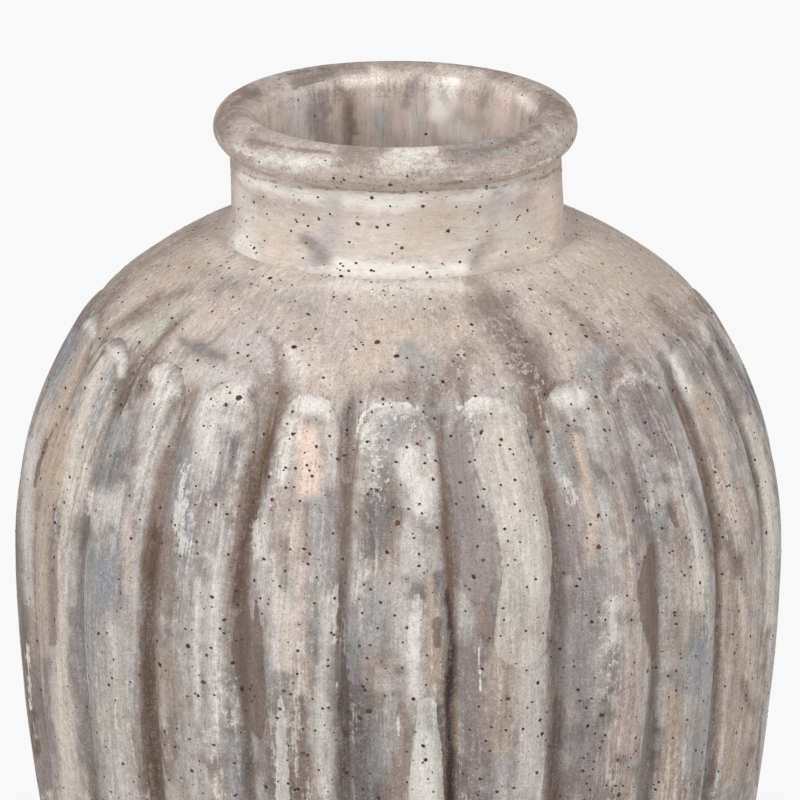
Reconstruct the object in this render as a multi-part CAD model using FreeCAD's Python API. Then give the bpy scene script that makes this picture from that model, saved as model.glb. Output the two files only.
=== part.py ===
import FreeCAD, Part
import math
import os

# A hand-built terracotta urn vase with 22 upright rounded lobes round its body.
# Origin: middle of the base, on the surface that the vase stands on. +Z up. Millimetres.

Vector = FreeCAD.Vector
ORIGIN = Vector(0, 0, 0)
UP = Vector(0, 0, 1)

# Body: heights are measured from the underside of the base
body_height = 438.0  # to the line where the dome of the shoulder meets the neck
belly_radius = 186.6  # widest outside of the wall itself, in the furrows between lobes
base_radius = 124.0
base_edge_round = 4.0
wall_thickness = 10.0
floor_thickness = 14.0
floor_corner_round = 10.0

# Neck and rolled rim
mouth_radius = 68.0
neck_radius = 82.5
mouth_foot_round = 6.0
neck_height = 50.5  # from the dome to the middle of the rolled rim
neck_foot_round = 7.0
roll_radius = 11.4

# Lobes
lobe_top_drop = 45.5  # from the neck's foot down to the lobe tops
lobe_foot_height = 22.0  # from the underside of the base to the lower ends
lobe_crown = 6.2  # how far a full lobe stands off the wall
lobe_gap = 1.6  # furrow floor left between two neighbours
lobe_tip_length = 21.0  # stretch over which an end rounds off
lobe_root = 3.0  # depth below the wall's face from which a lobe is drawn before it is seated

# Luted joints: a step half the wall wide, filled with slip
lap_height = 5.0
slip_gap = 0.4
lower_wall_height = 150.025  # from the floor's seat to the next seat
belly_wall_height = 164.9
neck_seat_drop = 4.0  # from the dome's top line down to the collar's seat
rim_seat_drop = 5.0  # from the middle of the rolled rim down to the seat on the neck

# Outline of the wall up to its widest: share of the way out from base to belly, share of the body's height
belly_outline_shares = (
    (0.377, 0.092),
    (0.624, 0.180),
    (0.791, 0.290),
    (0.920, 0.430),
    (1.000, 0.585),
)

# Outline of the wall above its widest: share of the way out from neck to belly, share of the body's height
dome_outline_shares = (
    (0.984, 0.700),
    (0.901, 0.780),
    (0.801, 0.838),
    (0.722, 0.874),
    (0.647, 0.904),
    (0.514, 0.933),
    (0.358, 0.959),
    (0.197, 0.981),
)

# Width of each lobe beside the mean: laid by eye, so they vary. The first faces -Y, the rest follow towards +X.
lobe_width_shares = (
    0.98, 1.02, 1.07, 0.93, 1.08, 0.98, 0.99, 1.01, 0.98, 1.00, 0.97,
    0.99, 1.01, 0.98, 1.00, 0.97, 0.99, 1.02, 1.08, 1.00, 1.00, 0.95,
)

# How the crown grows along a lobe: share of its height from foot to top, share of the full crown
lobe_crown_shares = (
    (0.00, 0.55),
    (0.12, 0.85),
    (0.30, 1.00),
    (0.70, 1.00),
    (0.80, 0.89),
    (0.88, 0.62),
    (0.95, 0.42),
    (1.00, 0.28),
)

# Where an end is drawn, as shares of the tip's length from its outermost point
tip_station_shares = (0.06, 0.20, 0.45, 0.80)
run_station_shares = (0.12, 0.27, 0.42, 0.57, 0.72, 0.86)

# Worked out from the sizes above
roll_ring_radius = mouth_radius + roll_radius
roll_height = body_height + neck_height
total_height = roll_height + roll_radius
neck_seat_height = body_height - neck_seat_drop
rim_seat_height = roll_height - rim_seat_drop
lobe_top_height = body_height - lobe_top_drop
lobe_length = lobe_top_height - lobe_foot_height
floor_seat_height = floor_thickness - lap_height
lower_seat_height = floor_seat_height + lower_wall_height
belly_seat_height = lower_seat_height + belly_wall_height
clear_radius = belly_radius + 2 * lobe_crown


def outline_points():
    """Points of the wall's outside in the XZ plane, from the base up to the neck."""
    points = [Vector(base_radius, 0, 0)]
    for way_out, height_share in belly_outline_shares:
        radius = base_radius + way_out * (belly_radius - base_radius)
        points.append(Vector(radius, 0, height_share * body_height))
    for way_out, height_share in dome_outline_shares:
        radius = neck_radius + way_out * (belly_radius - neck_radius)
        points.append(Vector(radius, 0, height_share * body_height))
    points.append(Vector(neck_radius, 0, body_height))
    return points


def smooth_curve(points):
    curve = Part.BSplineCurve()
    curve.interpolate(points)
    return curve


wall_curve = smooth_curve(outline_points())


def curve_parameter(curve, height):
    """Where a rising curve passes a height."""
    low = curve.FirstParameter
    high = curve.LastParameter
    for _ in range(50):
        middle = (low + high) / 2
        if curve.value(middle).z < height:
            low = middle
        else:
            high = middle
    return (low + high) / 2


def wall_radius(height):
    return wall_curve.value(curve_parameter(wall_curve, height)).x


def inner_curve():
    """The wall's inside: its outside moved inwards by the wall, square to the outline."""
    points = []
    count = 3 * len(outline_points())
    first = wall_curve.FirstParameter
    last = wall_curve.LastParameter
    for index in range(count + 1):
        parameter = first + (last - first) * index / count
        tangent = wall_curve.tangent(parameter)[0]
        inward = Vector(-tangent.z, 0, tangent.x)
        points.append(wall_curve.value(parameter) + inward * wall_thickness)
    return smooth_curve(points)


def turned(edges):
    """The solid that a closed outline in the XZ plane sweeps round the axis."""
    face = Part.Face(Part.Wire(Part.__sortEdges__(edges)))
    return face.revolve(ORIGIN, UP, 360)


def straight(start, end):
    return Part.LineSegment(start, end).toShape()


def ring_edge(solid, radius, height):
    """The circular edge nearest to a radius and a height."""
    best = None
    best_miss = None
    for edge in solid.Edges:
        if not isinstance(edge.Curve, Part.Circle):
            continue
        miss = abs(edge.Curve.Radius - radius) + abs(edge.Curve.Center.z - height)
        if best is None or miss < best_miss:
            best = edge
            best_miss = miss
    return best


def outer_form():
    """The wall, neck and rim as if solid right through."""
    base_outer = Vector(base_radius, 0, 0)
    dome_end = Vector(neck_radius, 0, body_height)
    under_roll = Vector(neck_radius, 0, roll_height)
    axis_top = Vector(0, 0, roll_height)
    edges = [
        straight(ORIGIN, base_outer),
        wall_curve.toShape(),
        straight(dome_end, under_roll),
        straight(under_roll, axis_top),
        straight(axis_top, ORIGIN),
    ]
    form = turned(edges)
    form = form.makeFillet(neck_foot_round, [ring_edge(form, neck_radius, body_height)])
    return form.makeFillet(base_edge_round, [ring_edge(form, base_radius, 0)])


def roll_form():
    """The rolled rim: a thick ring whose inside drops straight into the mouth."""
    ring = Part.makeTorus(roll_ring_radius, roll_radius, Vector(0, 0, roll_height), UP)
    plug = Part.makeCylinder(mouth_radius, 2 * roll_radius, Vector(0, 0, roll_height - roll_radius), UP)
    core = Part.makeCylinder(roll_ring_radius, roll_radius, Vector(0, 0, roll_height - roll_radius), UP)
    return ring.fuse(core.cut(plug))


def hollow_form():
    """What is scooped out: the belly up to the neck, and the mouth."""
    curve = inner_curve()
    low = curve_parameter(curve, floor_thickness)
    mouth_meet = low
    step_count = 400
    for index in range(step_count + 1):
        parameter = low + (curve.LastParameter - low) * index / step_count
        if curve.value(parameter).x > mouth_radius:
            mouth_meet = parameter
    floor_corner = curve.value(low)
    mouth_corner = curve.value(mouth_meet)
    side = Part.Edge(curve, low, mouth_meet)
    floor_middle = Vector(0, 0, floor_corner.z)
    top_middle = Vector(0, 0, mouth_corner.z)
    belly = turned([
        straight(floor_middle, floor_corner),
        side,
        straight(mouth_corner, top_middle),
        straight(top_middle, floor_middle),
    ])
    belly = belly.makeFillet(floor_corner_round, [ring_edge(belly, floor_corner.x, floor_corner.z)])
    mouth = Part.makeCylinder(mouth_radius, total_height - mouth_corner.z, top_middle, UP)
    return belly, mouth


def whole_vessel():
    """The plain vase in one piece, before it is parted at its luted joints."""
    belly, mouth = hollow_form()
    vessel = outer_form().fuse(roll_form()).cut(belly).cut(mouth)
    return vessel.makeFillet(mouth_foot_round, [ring_edge(vessel, mouth_radius, belly.BoundBox.ZMax)])


def wall_joint(seat_height, gap):
    """A step half-way through the wall: the lower section's inner half stands a lap higher."""
    flank = wall_radius(seat_height) - wall_thickness / 2 + gap
    return [
        Vector(0, 0, seat_height + lap_height + gap),
        Vector(flank, 0, seat_height + lap_height + gap),
        Vector(flank, 0, seat_height),
        Vector(clear_radius, 0, seat_height),
    ]


def neck_joint(gap):
    """The collar stands in a rebate of the dome, round a raised inner lip."""
    flank = (mouth_radius + neck_radius) / 2 + gap
    foot_radius = neck_radius + neck_foot_round - gap
    return [
        Vector(0, 0, neck_seat_height + lap_height + gap),
        Vector(flank, 0, neck_seat_height + lap_height + gap),
        Vector(flank, 0, neck_seat_height),
        Vector(foot_radius, 0, neck_seat_height),
        Vector(foot_radius, 0, body_height),
        Vector(clear_radius, 0, body_height),
    ]


def rim_joint(gap):
    """The roll sits on a lip inside the neck's top and hangs a little over its outside."""
    flank = (mouth_radius + neck_radius) / 2 + gap
    return [
        Vector(0, 0, rim_seat_height + lap_height + gap),
        Vector(flank, 0, rim_seat_height + lap_height + gap),
        Vector(flank, 0, rim_seat_height),
        Vector(neck_radius + gap, 0, rim_seat_height),
        Vector(neck_radius + gap, 0, roll_height - 2 * roll_radius),
        Vector(clear_radius, 0, roll_height - 2 * roll_radius),
    ]


def level(height):
    return [Vector(0, 0, height), Vector(clear_radius, 0, height)]


def section_of(vessel, lower_line, upper_line):
    """The part of the vessel between two joint lines."""
    outline = lower_line + upper_line[::-1]
    edges = []
    for start, end in zip(outline, outline[1:] + outline[:1]):
        edges.append(straight(start, end))
    return largest_solid(vessel.common(turned(edges)))


def largest_solid(shape):
    return max(shape.Solids, key=lambda solid: solid.Volume)


def vessel_sections():
    """Floor, walls, shoulder, neck and rim by name, each with its own joint faces."""
    vessel = whole_vessel()
    joints = (
        ("base_slab", lambda gap: wall_joint(floor_seat_height, gap)),
        ("lower_wall", lambda gap: wall_joint(lower_seat_height, gap)),
        ("belly_wall", lambda gap: wall_joint(belly_seat_height, gap)),
        ("shoulder_dome", neck_joint),
        ("neck_collar", rim_joint),
        ("rim_roll", lambda gap: level(total_height)),
    )
    sections = {}
    lower_line = level(0)
    for name, joint in joints:
        sections[name] = section_of(vessel, lower_line, joint(0))
        lower_line = joint(slip_gap)
    return sections


def share_between(table, place):
    """A value read off a table of shares, straight between its points."""
    for (start, low), (end, high) in zip(table, table[1:]):
        if place <= end:
            return low + (high - low) * (place - start) / (end - start)
    return table[-1][1]


def on_circle(radius, angle, height):
    return Vector(radius * math.cos(angle), radius * math.sin(angle), height)


def arched_section(crest_radius, foot_radius, foot_angle, height):
    """One level outline of a lobe: an arc over the crest, closed by a line inside the wall."""
    left = on_circle(foot_radius, -foot_angle, height)
    right = on_circle(foot_radius, foot_angle, height)
    arch = Part.Arc(left, Vector(crest_radius, 0, height), right).toShape()
    return Part.Wire([arch, straight(right, left)])


def crown_section(height, half_angle, tip_share):
    """A lobe's outline at one height. tip_share is how far it is from the nearer end, 1 or more when full."""
    ground = wall_radius(height)
    fullness = math.sqrt(max(0, 1 - max(0, 1 - tip_share) ** 2))
    half_width = (half_angle * ground - lobe_gap / 2) * fullness
    run_share = (height - lobe_foot_height) / lobe_length
    crest = ground + lobe_crown * share_between(lobe_crown_shares, run_share) * fullness
    angle = half_width / ground
    edge = ground * math.cos(angle)
    centre = (crest ** 2 - ground ** 2) / (2 * (crest - edge))
    arc_radius = crest - centre
    root = ground - lobe_root
    foot_x = (root ** 2 - arc_radius ** 2 + centre ** 2) / (2 * centre)
    return arched_section(crest, root, math.acos(foot_x / root), height)


def buried_section(height, half_angle):
    """Beyond a lobe's end its outline is sunk in the wall, so that the end comes out round."""
    ground = wall_radius(height)
    return arched_section(ground - lobe_root / 4, ground - lobe_root, half_angle / 4, height)


def lobe_form(half_angle, wall_solid):
    """One lobe along +X, seated on the wall."""
    tip = lobe_tip_length
    wires = [buried_section(lobe_foot_height - tip * tip_station_shares[0] / 2, half_angle)]
    for share in tip_station_shares:
        wires.append(crown_section(lobe_foot_height + tip * share, half_angle, share))
    for share in run_station_shares:
        wires.append(crown_section(lobe_foot_height + lobe_length * share, half_angle, 1))
    for share in reversed(tip_station_shares):
        wires.append(crown_section(lobe_top_height - tip * share, half_angle, share))
    wires.append(buried_section(lobe_top_height + tip * tip_station_shares[0] / 2, half_angle))
    body = Part.makeLoft(wires, True, False)
    return largest_solid(body.cut(wall_solid))


def lobes():
    """Every lobe in turn round the body, each as wide as its share."""
    wall_solid = outer_form()
    whole = sum(lobe_width_shares)
    found = []
    angle = -math.pi / 2 - math.pi * lobe_width_shares[0] / whole
    for share in lobe_width_shares:
        half_angle = math.pi * share / whole
        lobe = lobe_form(half_angle, wall_solid)
        lobe.rotate(ORIGIN, UP, math.degrees(angle + half_angle))
        found.append(lobe)
        angle += 2 * half_angle
    return found


def main():
    os.makedirs("parts", exist_ok=True)
    nodes = vessel_sections()
    for number, lobe in enumerate(lobes(), start=1):
        nodes["lobe_%02d" % number] = lobe
    for name, shape in nodes.items():
        shape.exportStep("parts/" + name + ".step")
        print(name, shape.isValid(), round(shape.Volume), len(shape.Faces))


main()
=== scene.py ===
import math

import bpy
import numpy as np
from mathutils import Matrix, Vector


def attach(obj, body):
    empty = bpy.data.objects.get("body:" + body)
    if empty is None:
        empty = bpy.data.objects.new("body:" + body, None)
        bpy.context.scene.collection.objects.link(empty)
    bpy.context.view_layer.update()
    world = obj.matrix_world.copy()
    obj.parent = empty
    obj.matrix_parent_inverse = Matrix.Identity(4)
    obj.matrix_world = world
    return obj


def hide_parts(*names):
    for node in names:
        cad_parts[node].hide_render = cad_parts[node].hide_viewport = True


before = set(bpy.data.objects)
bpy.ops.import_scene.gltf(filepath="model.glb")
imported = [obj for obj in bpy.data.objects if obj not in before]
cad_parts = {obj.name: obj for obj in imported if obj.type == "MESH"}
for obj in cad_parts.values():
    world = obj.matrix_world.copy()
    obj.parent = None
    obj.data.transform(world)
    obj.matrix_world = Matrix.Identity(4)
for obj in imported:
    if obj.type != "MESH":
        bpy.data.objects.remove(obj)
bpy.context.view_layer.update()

# A hand-built terracotta urn vase, brushed over with layers of chalky paint.
# Lengths are millimetres in the CAD frame until a mesh is made. The front is -Y, +X is to its right.
# In the shapes, s is a length along the wall's outline from the base up.
METRE = 0.001
BODY_HEIGHT = 438.0
BELLY_RADIUS = 186.6
BASE_RADIUS = 124.0
NECK_RADIUS = 82.5
MOUTH_RADIUS = 68.0
ROLL_RADIUS = 11.4
ROLL_HEIGHT = 488.5
ROLL_RING_RADIUS = MOUTH_RADIUS + ROLL_RADIUS
WALL = 10.0
FLOOR = 14.0
FLOOR_SEAT = 9.0
LOWER_SEAT = 159.0
BELLY_SEAT = 324.0
COLLAR_FOOT_RADIUS = 89.5
BORE_FOOT = 424.5  # where the neck's bore opens into the body's hollow
NECK_TOP = 483.5  # the seam between neck and rolled rim
TURN_STEPS, DOME_STEPS = 528, 720  # points round a turned section
WALL_SPACING, DOME_SPACING = 3.0, 1.5  # between rows of points
WANDER_SEED, HAND_SEEDS, BEND_SEED, RAGGED_SEEDS = 11, (21, 22, 23), 31, (32, 33)
GROUND_SEED, BACK_SEED, SPECK_PLACE_SEED, SPECK_SHAPE_SEED = 101, 77, 5, 6
LOBE_FOOT = 22.0
LOBE_TOP = 392.5
LOBE_CROWN = 5.7
BRUSH_RADIUS = 160.0  # radius at which one millimetre round the pot is one millimetre of brush noise

BELLY_SHARES = ((0.377, 0.092), (0.624, 0.180), (0.791, 0.290), (0.920, 0.430), (1.000, 0.585))
DOME_SHARES = (
    (0.984, 0.700), (0.901, 0.780), (0.801, 0.838), (0.722, 0.874),
    (0.647, 0.904), (0.514, 0.933), (0.358, 0.959), (0.197, 0.981),
)
LOBE_WIDTHS = (
    0.98, 1.02, 1.07, 0.93, 1.08, 0.98, 0.99, 1.01, 0.98, 1.00, 0.97,
    0.99, 1.01, 0.98, 1.00, 0.97, 0.99, 1.02, 1.08, 1.00, 1.00, 0.95,
)
# How the crown grows along a lobe: share of the way from foot to top, share of the full crown
CROWN_SHARES = (
    (0, 0.55), (0.12, 0.85), (0.30, 1), (0.70, 1),
    (0.80, 0.96), (0.88, 0.80), (0.95, 0.62), (1, 0.50),
)
LOBE_COUNT = len(LOBE_WIDTHS)
FURROW_DEPTH = 1.0
GROOVE_DEPTHS = (
    0.7, 0.7, 0.8, 1.0, 1.1, 1.2, 1.0, 0.9, 1.0, 0.8, 1.0,
    0.9, 1.0, 0.8, 0.9, 1.0, 1.0, 1.2, 1.3, 1.2, 1.1, 0.9,
)

# How the photograph looks at the vase
VIEW_TARGET = (1.07, 0.0, 345.7)
VIEW_ELEVATION = math.radians(17.44)
VIEW_DISTANCE = 5017.5
SENSOR = 36.0
LENS = 452.0
IMAGE_SIZE = 800


def spline(points, count):
    """Evenly spaced points on a smooth curve through the given ones."""
    points = np.array(points, float)
    at = np.concatenate(([0], np.cumsum(np.hypot(*np.diff(points, axis=0).T))))
    step = np.diff(at)
    n = len(points)
    matrix = np.eye(n)
    right = np.zeros((n, 2))
    for i in range(1, n - 1):
        matrix[i, i - 1:i + 2] = step[i - 1], 2 * (step[i - 1] + step[i]), step[i]
        right[i] = 6 * ((points[i + 1] - points[i]) / step[i] - (points[i] - points[i - 1]) / step[i - 1])
    bend = np.linalg.solve(matrix, right)
    s = np.linspace(0, at[-1], count)
    i = np.clip(np.searchsorted(at, s, side="right") - 1, 0, n - 2)
    h = step[i][:, None]
    a = ((at[i + 1] - s)[:, None]) / h
    b = 1 - a
    line = a * points[i] + b * points[i + 1]
    return line + ((a ** 3 - a) * bend[i] + (b ** 3 - b) * bend[i + 1]) * h ** 2 / 6


def smoothstep(low, high, x):
    t = np.clip((x - low) / (high - low), 0, 1)
    return t * t * (3 - 2 * t)


lattices = {}


def value_noise(points, size, seed):
    """Smooth noise from about -1 to 1 in space; size is how far apart its hills are."""
    side = 64
    if seed not in lattices:
        lattices[seed] = np.random.default_rng(seed).uniform(-1, 1, (side, side, side))
    lattice = lattices[seed]
    scaled = np.asarray(points, float) / size
    cell = np.floor(scaled).astype(int)
    part = scaled - cell
    part = part * part * (3 - 2 * part)
    total = np.zeros(len(scaled))
    for corner in range(8):
        step = np.array([corner & 1, corner >> 1 & 1, corner >> 2 & 1])
        weight = np.prod(np.where(step, part, 1 - part), axis=1)
        x, y, z = ((cell + step) % side).T
        total += weight * lattice[x, y, z]
    return total


# The wall's outline as lookup tables: height, radius, length along it, and its outward normal
outline_points = [(BASE_RADIUS, 0)]
outline_points += [(BASE_RADIUS + a * (BELLY_RADIUS - BASE_RADIUS), b * BODY_HEIGHT) for a, b in BELLY_SHARES]
outline_points += [(NECK_RADIUS + a * (BELLY_RADIUS - NECK_RADIUS), b * BODY_HEIGHT) for a, b in DOME_SHARES]
outline_points += [(NECK_RADIUS, BODY_HEIGHT)]
wall_r, wall_z = spline(outline_points, 4000).T
wall_s = np.concatenate(([0], np.cumsum(np.hypot(np.diff(wall_r), np.diff(wall_z)))))
slope_r, slope_z = np.gradient(wall_r, wall_s), np.gradient(wall_z, wall_s)


def at_length(s):
    """Radius, height and outward normal of the wall at a length along its outline."""
    radius = np.interp(s, wall_s, wall_r)
    height = np.interp(s, wall_s, wall_z)
    return radius, height, np.interp(s, wall_s, slope_z), -np.interp(s, wall_s, slope_r)


def length_at_height(height):
    return np.interp(height, wall_z, wall_s)


def length_at_radius(radius):
    """Length along the dome at which it has narrowed to a radius."""
    dome = wall_z > 0.6 * BODY_HEIGHT
    return np.interp(-radius, -wall_r[dome], wall_s[dome])


# Angles at which one lobe ends and the next begins; lobe 1 is centred on -Y
half_first = math.pi * LOBE_WIDTHS[0] / sum(LOBE_WIDTHS)
lobe_edges = -math.pi / 2 - half_first + np.cumsum((0,) + LOBE_WIDTHS) / sum(LOBE_WIDTHS) * 2 * math.pi


def wander(edge, s):
    """How far a furrow strays sideways from straight, in millimetres."""
    edge = edge % LOBE_COUNT
    line = np.column_stack([np.full(len(s), 7.3 * edge), s / 75.0, np.zeros(len(s))])
    return 1.3 * value_noise(line, 1.0, WANDER_SEED)


def hand_made(position, amount=1.0):
    """Unevenness left by the hands and tools, out of the surface."""
    seeds = HAND_SEEDS
    broad = 0.32 * value_noise(position, 62.0, seeds[0])
    middle = 0.16 * value_noise(position, 21.0, seeds[1])
    fine = 0.05 * value_noise(position, 6.0, seeds[2])
    return amount * (broad + middle + fine)


def lean(position):
    """The rim sits a little off the body's axis."""
    moved = position.copy()
    moved[:, 0] -= 1.1 * smoothstep(440, 485, position[:, 2])
    return moved


def mesh_object(name, vertices, faces, node, sharp=50):
    """A closed mesh that stands for CAD nodes and rides on the body."""
    mesh = bpy.data.meshes.new(name)
    mesh.from_pydata((lean(vertices) * METRE).tolist(), [], faces)
    mesh.polygons.foreach_set("use_smooth", np.ones(len(mesh.polygons), bool))
    mesh.update()
    mesh.set_sharp_from_angle(angle=math.radians(sharp))
    piece = bpy.data.objects.new(name, mesh)
    bpy.context.scene.collection.objects.link(piece)
    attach(piece, "root")
    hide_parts(*([node] if isinstance(node, str) else node))
    return piece


def grid_faces(rows, columns, wrap_rows=False, wrap_columns=False):
    """Four-sided faces between neighbouring rows and columns of points."""
    last_row = rows if wrap_rows else rows - 1
    last_column = columns if wrap_columns else columns - 1
    i, j = np.meshgrid(np.arange(last_row), np.arange(last_column), indexing="ij")
    below, beside = (i + 1) % rows, (j + 1) % columns
    here, under = i * columns, below * columns
    corners = np.stack([here + j, here + beside, under + beside, under + j], -1)
    return corners.reshape(-1, 4).tolist()


def between_lobes(position, reach):
    """Near 1 along the furrows' lines, whose depths weigh in, and 0 away from them."""
    x, y, z = position.T
    radius, angle = np.hypot(x, y), np.arctan2(y, x)
    s = length_at_height(z)
    found = np.zeros(len(z))
    for edge in range(LOBE_COUNT):
        turn = (angle - lobe_edges[edge] + math.pi) % (2 * math.pi) - math.pi
        gap = turn * radius - wander(edge, s)
        found = np.maximum(found, GROOVE_DEPTHS[edge] * np.exp(-((gap / reach) ** 2)))
    return found


def grooves(position):
    """Shallow hollows that carry the furrows on above the lobes' tips and die away towards the neck."""
    z = position[:, 2]
    fade = smoothstep(LOBE_TOP - 46, LOBE_TOP - 30, z) * (1 - smoothstep(LOBE_TOP + 8, LOBE_TOP + 34, z))
    return -between_lobes(position, 4.2) * fade


def spin(outline, steps, bumps=1.0, carve=None):
    """Points of a closed outline swept round the axis, with its outward unevenness. Rows follow the outline."""
    outline = np.asarray(outline, float)
    along = np.roll(outline, -1, 0) - np.roll(outline, 1, 0)
    along /= np.maximum(np.hypot(*along.T), 1e-6)[:, None]
    normal_r, normal_z = along[:, 1], -along[:, 0]
    bore = (outline[:, 0] < MOUTH_RADIUS + 1) & (outline[:, 1] > 470)
    normal_r[bore], normal_z[bore] = -1, 0
    angle = np.arange(steps) / steps * 2 * math.pi
    radius, turn = np.meshgrid(outline[:, 0], angle, indexing="ij")
    height = np.repeat(outline[:, 1][:, None], steps, 1)
    flat = np.stack([radius * np.cos(turn), radius * np.sin(turn), height], -1).reshape(-1, 3)
    out = hand_made(flat, bumps)
    if carve:
        out += carve(flat)
    nr = np.repeat(normal_r, steps)
    nz = np.repeat(normal_z, steps)
    turn = turn.ravel()
    return flat + out[:, None] * np.column_stack([nr * np.cos(turn), nr * np.sin(turn), nz])


def rounded(points, corner, reach, count=10):
    """An outline with one of its corners eased over a length each way."""
    points = [np.array(p, float) for p in points]
    here, before, after = points[corner], points[corner - 1], points[(corner + 1) % len(points)]
    start = here + (before - here) / np.hypot(*(before - here)) * reach
    end = here + (after - here) / np.hypot(*(after - here)) * reach
    share = np.linspace(0, 1, count)[:, None]
    eased = (1 - share) ** 2 * start + 2 * share * (1 - share) * here + share ** 2 * end
    return points[:corner] + list(eased) + points[corner + 1:]


def run(start, end, spacing):
    """Evenly spaced points from start up to, and not with, end."""
    start, end = np.array(start, float), np.array(end, float)
    count = max(1, int(round(np.hypot(*(end - start)) / spacing)))
    return [start + (end - start) * i / count for i in range(count)]


def dense(points, spacing):
    """The closed outline with more points on its long runs."""
    found = []
    for here, after in zip(points, points[1:] + points[:1]):
        found += run(here, after, spacing)
    return found


def wall_outline(s_low, s_high, spacing, sink, inner_spacing=6.0):
    """Outline of a stretch of wall, its outside going up and its inside going down.

    sink gives how deep the outside lies under the lobes.
    """
    s = np.linspace(s_low, s_high, max(2, int((s_high - s_low) / spacing)))
    radius, height, normal_r, normal_z = at_length(s)
    depth = sink(s)
    outer = np.column_stack([radius - depth * normal_r, height - depth * normal_z])
    s = np.linspace(s_high, s_low, max(2, int((s_high - s_low) / inner_spacing)))
    radius, height, normal_r, normal_z = at_length(s)
    inner = np.column_stack([radius - WALL * normal_r, height - WALL * normal_z])
    return outer, inner


def under_lobes(s):
    """Depth by which the wall lies under the lobes' skin, up to where the tips begin."""
    start, full = length_at_height(LOBE_FOOT + 14), length_at_height(LOBE_FOOT + 26)
    end, gone = length_at_height(LOBE_TOP - 44), length_at_height(LOBE_TOP - 32)
    return (FURROW_DEPTH + 0.9) * smoothstep(start, full, s) * (1 - smoothstep(end, gone, s))


# Turned sections of the pot
pieces = {}


def turned_piece(name, outline, steps, node, carve=None):
    outline = [tuple(p) for p in outline]
    points = spin(outline, steps, carve=carve)
    faces = grid_faces(len(outline), steps, wrap_rows=True, wrap_columns=True)
    pieces[name] = mesh_object(name, points, faces, node)


def base_piece(steps=264):
    """The floor: a disc with a rounded foot, closed at its middle below and above."""
    seat_radius = float(at_length(length_at_height(FLOOR_SEAT))[0])
    flank = seat_radius - WALL / 2
    edge = [(2.0, 0), (BASE_RADIUS, 0), (seat_radius, FLOOR_SEAT), (flank, FLOOR_SEAT), (flank, FLOOR), (2.0, FLOOR)]
    foot = rounded(edge, 1, 4)
    outline = []
    for here, after in zip(foot, foot[1:]):
        outline += run(here, after, 8.0)
    outline.append(np.array(foot[-1]))
    points = spin(outline, steps, 0)
    faces = grid_faces(len(outline), steps, wrap_columns=True)
    last = (len(outline) - 1) * steps
    points = np.vstack([points, [[0, 0, 0], [0, 0, FLOOR]]])
    below, above = len(points) - 2, len(points) - 1
    for i in range(steps):
        after = (i + 1) % steps
        faces.append([below, after, i])
        faces.append([above, last + i, last + after])
    pieces["base_floor"] = mesh_object("base_floor", points, faces, "base_slab")


base_piece()

outer, inner = wall_outline(length_at_height(FLOOR_SEAT), length_at_height(LOWER_SEAT), WALL_SPACING, under_lobes)
floor_corner = np.array([inner[inner[:, 1] > FLOOR + 8][-1][0] - 3.5, FLOOR + 0.2])
inner = inner[inner[:, 1] > FLOOR + 8]
ease = np.linspace(0, 1, 6)[:, None]
fillet = (1 - ease) ** 2 * inner[-1] + 2 * ease * (1 - ease) * floor_corner + ease ** 2 * (floor_corner - [9, 0])
lap = outer[0][0] - WALL / 2
lower = [*outer, *inner[:-1], *fillet, (lap, FLOOR + 0.2), (lap, FLOOR_SEAT)]
turned_piece("lower_wall_clay", lower, TURN_STEPS, "lower_wall")

outer, inner = wall_outline(length_at_height(LOWER_SEAT), length_at_height(BELLY_SEAT), WALL_SPACING, under_lobes)
turned_piece("belly_wall_clay", [*outer, *inner], TURN_STEPS, "belly_wall")

dome_end = length_at_radius(COLLAR_FOOT_RADIUS - 3)
outer, inner = wall_outline(length_at_height(BELLY_SEAT), dome_end, DOME_SPACING, under_lobes)
inner = inner[inner[:, 0] > MOUTH_RADIUS + 9]
step_radius, step_height = outer[-1]
shoulder = [*outer, (step_radius, step_height - 3.5), *inner]
turned_piece("shoulder_clay", shoulder, DOME_STEPS, "shoulder_dome", carve=grooves)

# Neck: foot easing into the dome, wall, and the bore down to the belly's hollow
foot_s = length_at_radius(COLLAR_FOOT_RADIUS)
foot_r, foot_z = (float(v) for v in at_length(foot_s)[:2])
lip = 0.3
neck = [
    (foot_r, foot_z + lip),
    (NECK_RADIUS + 0.2, BODY_HEIGHT + 0.8),
    (NECK_RADIUS - 0.3, 462.0),
    (NECK_RADIUS, NECK_TOP),
    (MOUTH_RADIUS, NECK_TOP),
    (MOUTH_RADIUS, 483.42),
    (MOUTH_RADIUS, BORE_FOOT),
    (MOUTH_RADIUS + 11, 424.8),
    (MOUTH_RADIUS + 15, 430.5),
    (foot_r, foot_z - 1.5),
]
neck = rounded(neck, 7, 4, 4)
neck = rounded(neck, 6, 7, 8)
neck = rounded(neck, 1, 6.6, 10)
turned_piece("neck_clay", dense(neck, 1.5), TURN_STEPS, "neck_collar")

# Rolled rim: a thick ring whose inside drops straight into the mouth
turn = np.linspace(0, 1.5 * math.pi, 54)
roll_radius, roll_rise = ROLL_RADIUS - 0.3, ROLL_RADIUS - 0.85
roll = [(ROLL_RING_RADIUS - roll_radius * math.cos(t), ROLL_HEIGHT + roll_rise * math.sin(t)) for t in turn]
roll = roll[::-1]
for share in np.linspace(0, 1, 6)[:-1]:
    eased = (ROLL_RADIUS - roll_radius) * float(smoothstep(1, 0, share))
    roll.append((MOUTH_RADIUS + eased, ROLL_HEIGHT - 0.4 + (NECK_TOP - ROLL_HEIGHT + 0.4) * share))
roll.append((MOUTH_RADIUS, NECK_TOP + 0.08))
roll += run((MOUTH_RADIUS, NECK_TOP), (ROLL_RING_RADIUS, NECK_TOP), 2.0)
turned_piece("rim_clay", roll, TURN_STEPS, "rim_roll")


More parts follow.
